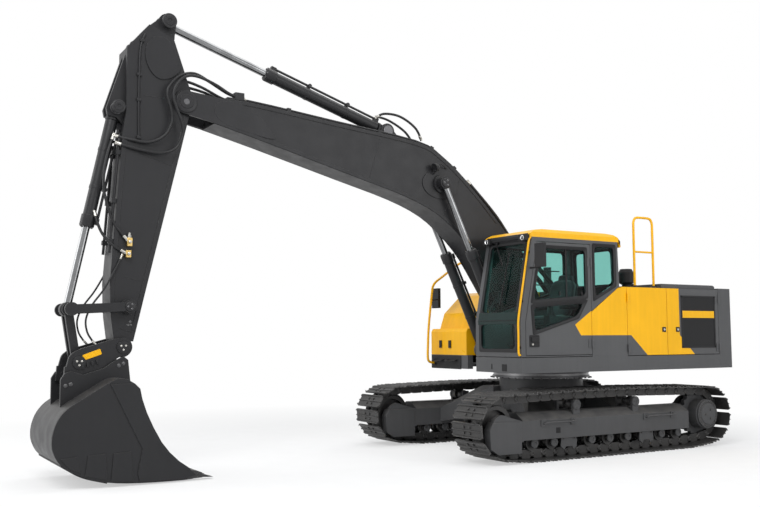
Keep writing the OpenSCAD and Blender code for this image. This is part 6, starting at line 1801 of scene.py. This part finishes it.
LEFT_RAIL = [(-0.680, 2.195), (-0.680, 3.000), (-0.684, 3.110), (-0.715, 3.165), (-0.775, 3.180),
             (-0.950, 3.180), (-1.011, 3.165), (-1.042, 3.110), (-1.046, 3.000), (-1.046, 2.195)]
RIGHT_RAIL = [(0.996, 1.150), (1.080, 1.152), (1.132, 1.175), (1.150, 1.240), (1.146, 1.400), (1.128, 1.700),
              (1.066, 2.200), (1.040, 2.300), (0.985, 2.365), (0.870, 2.442), (0.600, 2.625), (0.500, 2.665),
              (0.380, 2.672), (0.090, 2.672), (0.020, 2.655), (0.000, 2.590), (0.000, 2.195)]
LEFT_RAIL_Y = 1.210
RIGHT_RAIL_Y = -1.200
RAIL_R = 0.0175
CROSS_RAIL_Z = 2.700
RIGHT_FOOT_X = 1.008
RIGHT_STAY = [(0.920, -0.022, 2.100), (1.000, -0.030, 2.090), (1.078, 0.0, 2.080)]
STEP_TOP = 1.232


def make_rails():
    """Both bent handrails with their foot plates, and the front step that carries the right one."""
    rails, feet, step = Shape(), Shape(), Shape()
    for line, y in ((LEFT_RAIL, LEFT_RAIL_Y), (RIGHT_RAIL, RIGHT_RAIL_Y)):
        rails.tube([Vector((p.x, y, p.y)) for p in flat_line(pairs(line), 5)], RAIL_R, 12)
    cross = [(x, LEFT_RAIL_Y, CROSS_RAIL_Z) for x in (LEFT_RAIL[0][0], LEFT_RAIL[-1][0])]
    rails.tube(cross, 0.8 * RAIL_R, 10)
    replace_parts(rails.piece("bent_handrails", yellow_paint, "upper"), "handrails")
    feet.lathe((RIGHT_FOOT_X, RIGHT_RAIL_Y, RIGHT_RAIL[0][1]), FORWARD,
               [(0, 0.040), (0.010, 0.040), (0.030, 0.021)], 20)
    for (x, z), y in ((LEFT_RAIL[0], LEFT_RAIL_Y), (LEFT_RAIL[-1], LEFT_RAIL_Y),
                      (RIGHT_RAIL[-1], RIGHT_RAIL_Y)):
        feet.lathe((x, y, z + 0.004), UP, [(0, 0.042), (0.010, 0.042), (0.014, 0.030), (0.034, 0.021)], 20)
    feet.tube([(x, RIGHT_RAIL_Y + out, z) for x, out, z in RIGHT_STAY], 0.011, 10)
    feet.piece("handrail_feet", black_plastic, "upper")
    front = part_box("right_tank")[1].x
    step.block((front - 0.004, -1.300, STEP_TOP - 0.165), (front + 0.012, -0.560, STEP_TOP + 0.030), 0.004)
    for y in (-1.100, -0.760):
        line = [(front, y - 0.11, STEP_TOP - 0.03), (front + 0.07, y - 0.10, STEP_TOP - 0.05),
                (front + 0.07, y + 0.10, STEP_TOP - 0.05), (front, y + 0.11, STEP_TOP - 0.03)]
        step.tube(smooth_line(line, 5), 0.013, 10)
    step.piece("front_step", grip_plate, "upper", bevel=0.004)


SKIRT_RECESS = (0.980, 1.140)
TOOL_BOX_LATCHES_Y = (-1.067, -0.832)


def make_skirt_parts():
    """Dark plates on the front of the skirt standing in for a recess and a slot, painted shade of their
    insides, and the tool box latches on the tank's front.
    """
    pocket_shade, latches = Shape(), Shape()
    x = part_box("main_frame")[1].x - 0.002
    y, z = SKIRT_RECESS
    pocket_shade.prism(rounded_plate(Vector((x, y, z)), LEFT, UP, 0.050, 0.045, 0.008), (0.005, 0, 0))
    pocket_shade.prism(rounded_plate(Vector((x, y - 0.26, z + 0.01)), LEFT, UP, 0.010, 0.035, 0.008), (0.005, 0, 0))
    pocket_shade.piece("skirt_pocket_shade", gasket_rubber, "upper")
    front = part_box("right_tank")[1].x
    for y in TOOL_BOX_LATCHES_Y:
        latches.block((front - 0.002, y - 0.030, 1.370), (front + 0.022, y + 0.030, 1.480), 0.008)
    latches.piece("tool_box_latches", black_plastic, "upper", bevel=0.003)


# Stage
FLOOR_HALF = 60.0
FLOOR_MIDDLE = (2.0, 0.0, 0.0)
FLOOR_FADE = (4.5, 9.0)


def seen_rays(tree):
    """One for the rays of what is seen straight, through glass or mirrored, else nought."""
    rays = node(tree, "LightPath").outputs
    seen = maths(tree, "MAXIMUM", rays["Is Camera Ray"], rays["Is Transmission Ray"])
    return maths(tree, "MAXIMUM", seen, rays["Is Glossy Ray"])


def make_floor():
    """A matt floor that fades to white away from the machine."""
    plate = Shape()
    plate.add([(-FLOOR_HALF, -FLOOR_HALF, 0), (FLOOR_HALF, -FLOOR_HALF, 0), (FLOOR_HALF, FLOOR_HALF, 0),
               (-FLOOR_HALF, FLOOR_HALF, 0)], [[0, 1, 2, 3]])
    material = bpy.data.materials.new("pale_floor")
    material.use_nodes = True
    tree = material.node_tree
    tree.nodes.remove(tree.nodes["Principled BSDF"])
    at = local_place(tree)
    away = node(tree, "VectorMath", {0: at, 1: FLOOR_MIDDLE}, operation="DISTANCE").outputs["Value"]
    speck = noise(tree, at, 3.0)
    pale = mixed(tree, span(tree, speck, 0.3, 0.7), (0.88, 0.88, 0.88, 1), (0.91, 0.91, 0.91, 1))
    matt = node(tree, "BsdfDiffuse", {"Color": pale}).outputs[0]
    glow = node(tree, "Emission", {"Color": WHITE, "Strength": 1.0}).outputs[0]
    share = maths(tree, "MULTIPLY", span(tree, away, *FLOOR_FADE, 0.50, 1.0), seen_rays(tree))
    blend = node(tree, "MixShader", {0: share, 1: matt, 2: glow})
    tree.links.new(blend.outputs[0], tree.nodes["Material Output"].inputs["Surface"])
    floor = plate.piece("floor", material, None)


def make_world():
    """White where it is seen, and a soft bluish light on the rest."""
    world = bpy.data.worlds.new("studio")
    bpy.context.scene.world = world
    world.use_nodes = True
    tree = world.node_tree
    tree.nodes.clear()
    end = node(tree, "OutputWorld")
    backdrop = node(tree, "Background", {"Color": WHITE, "Strength": 1.0}).outputs[0]
    ambient = node(tree, "Background", {"Color": (0.92, 0.96, 1.0, 1), "Strength": 0.36}).outputs[0]
    both = node(tree, "MixShader", {0: seen_rays(tree), 1: ambient, 2: backdrop})
    tree.links.new(both.outputs[0], end.inputs["Surface"])


# Lights: name, place, aim, size, power
LIGHTS = [("key_light", (10.0, 7.0, 10.0), (2.0, 0.0, 1.5), 7.0, 950.0),
          ("top_light", (1.0, 0.0, 12.0), (1.5, 0.0, 0.0), 10.0, 520.0),
          ("fill_light", (-3.0, 12.0, 5.0), (0.0, 0.0, 1.5), 8.0, 430.0),
          ("front_light", (13.0, -4.0, 4.0), (1.5, -0.8, 1.6), 7.0, 420.0),
          ("back_light", (-9.0, -8.0, 8.0), (0.0, 0.0, 1.5), 7.0, 350.0)]


def make_lights():
    for name, at, aim, size, power in LIGHTS:
        data = bpy.data.lights.new(name, "AREA")
        data.shape = "DISK"
        data.size = size
        data.energy = power
        lamp = bpy.data.objects.new(name, data)
        bpy.context.scene.collection.objects.link(lamp)
        lamp.location = at
        lamp.rotation_euler = (Vector(aim) - Vector(at)).to_track_quat("-Z", "Y").to_euler()


scene = bpy.context.scene
scene.view_settings.view_transform = "Standard"
make_camera()
make_floor()
make_world()
make_lights()
dress_nodes()
make_tracks()
make_track_frame_details()
make_swing_ring()
make_cab_glazing()
make_door_window_slide()
make_windscreen_band()
make_wiper()
make_roof_parts()
make_cab_lamp_faces()
make_mirror_glass()
make_front_post_rail()
make_seat()
make_cab_inside()
make_cab_door_parts()
make_boom_body()
make_boom_details()
make_lift_pin_caps()
make_arm_details()
make_arm_brackets()
make_cylinder_details()
make_bucket_body()
make_bucket_details()
make_coupler_details()
make_arm_hoses()
make_boom_hoses()
make_valves()
make_boom_lamp()
make_grilles()
make_locks()
make_hood_parts()
make_deck_plates()
make_counterweight_parts()
make_rails()
make_skirt_parts()
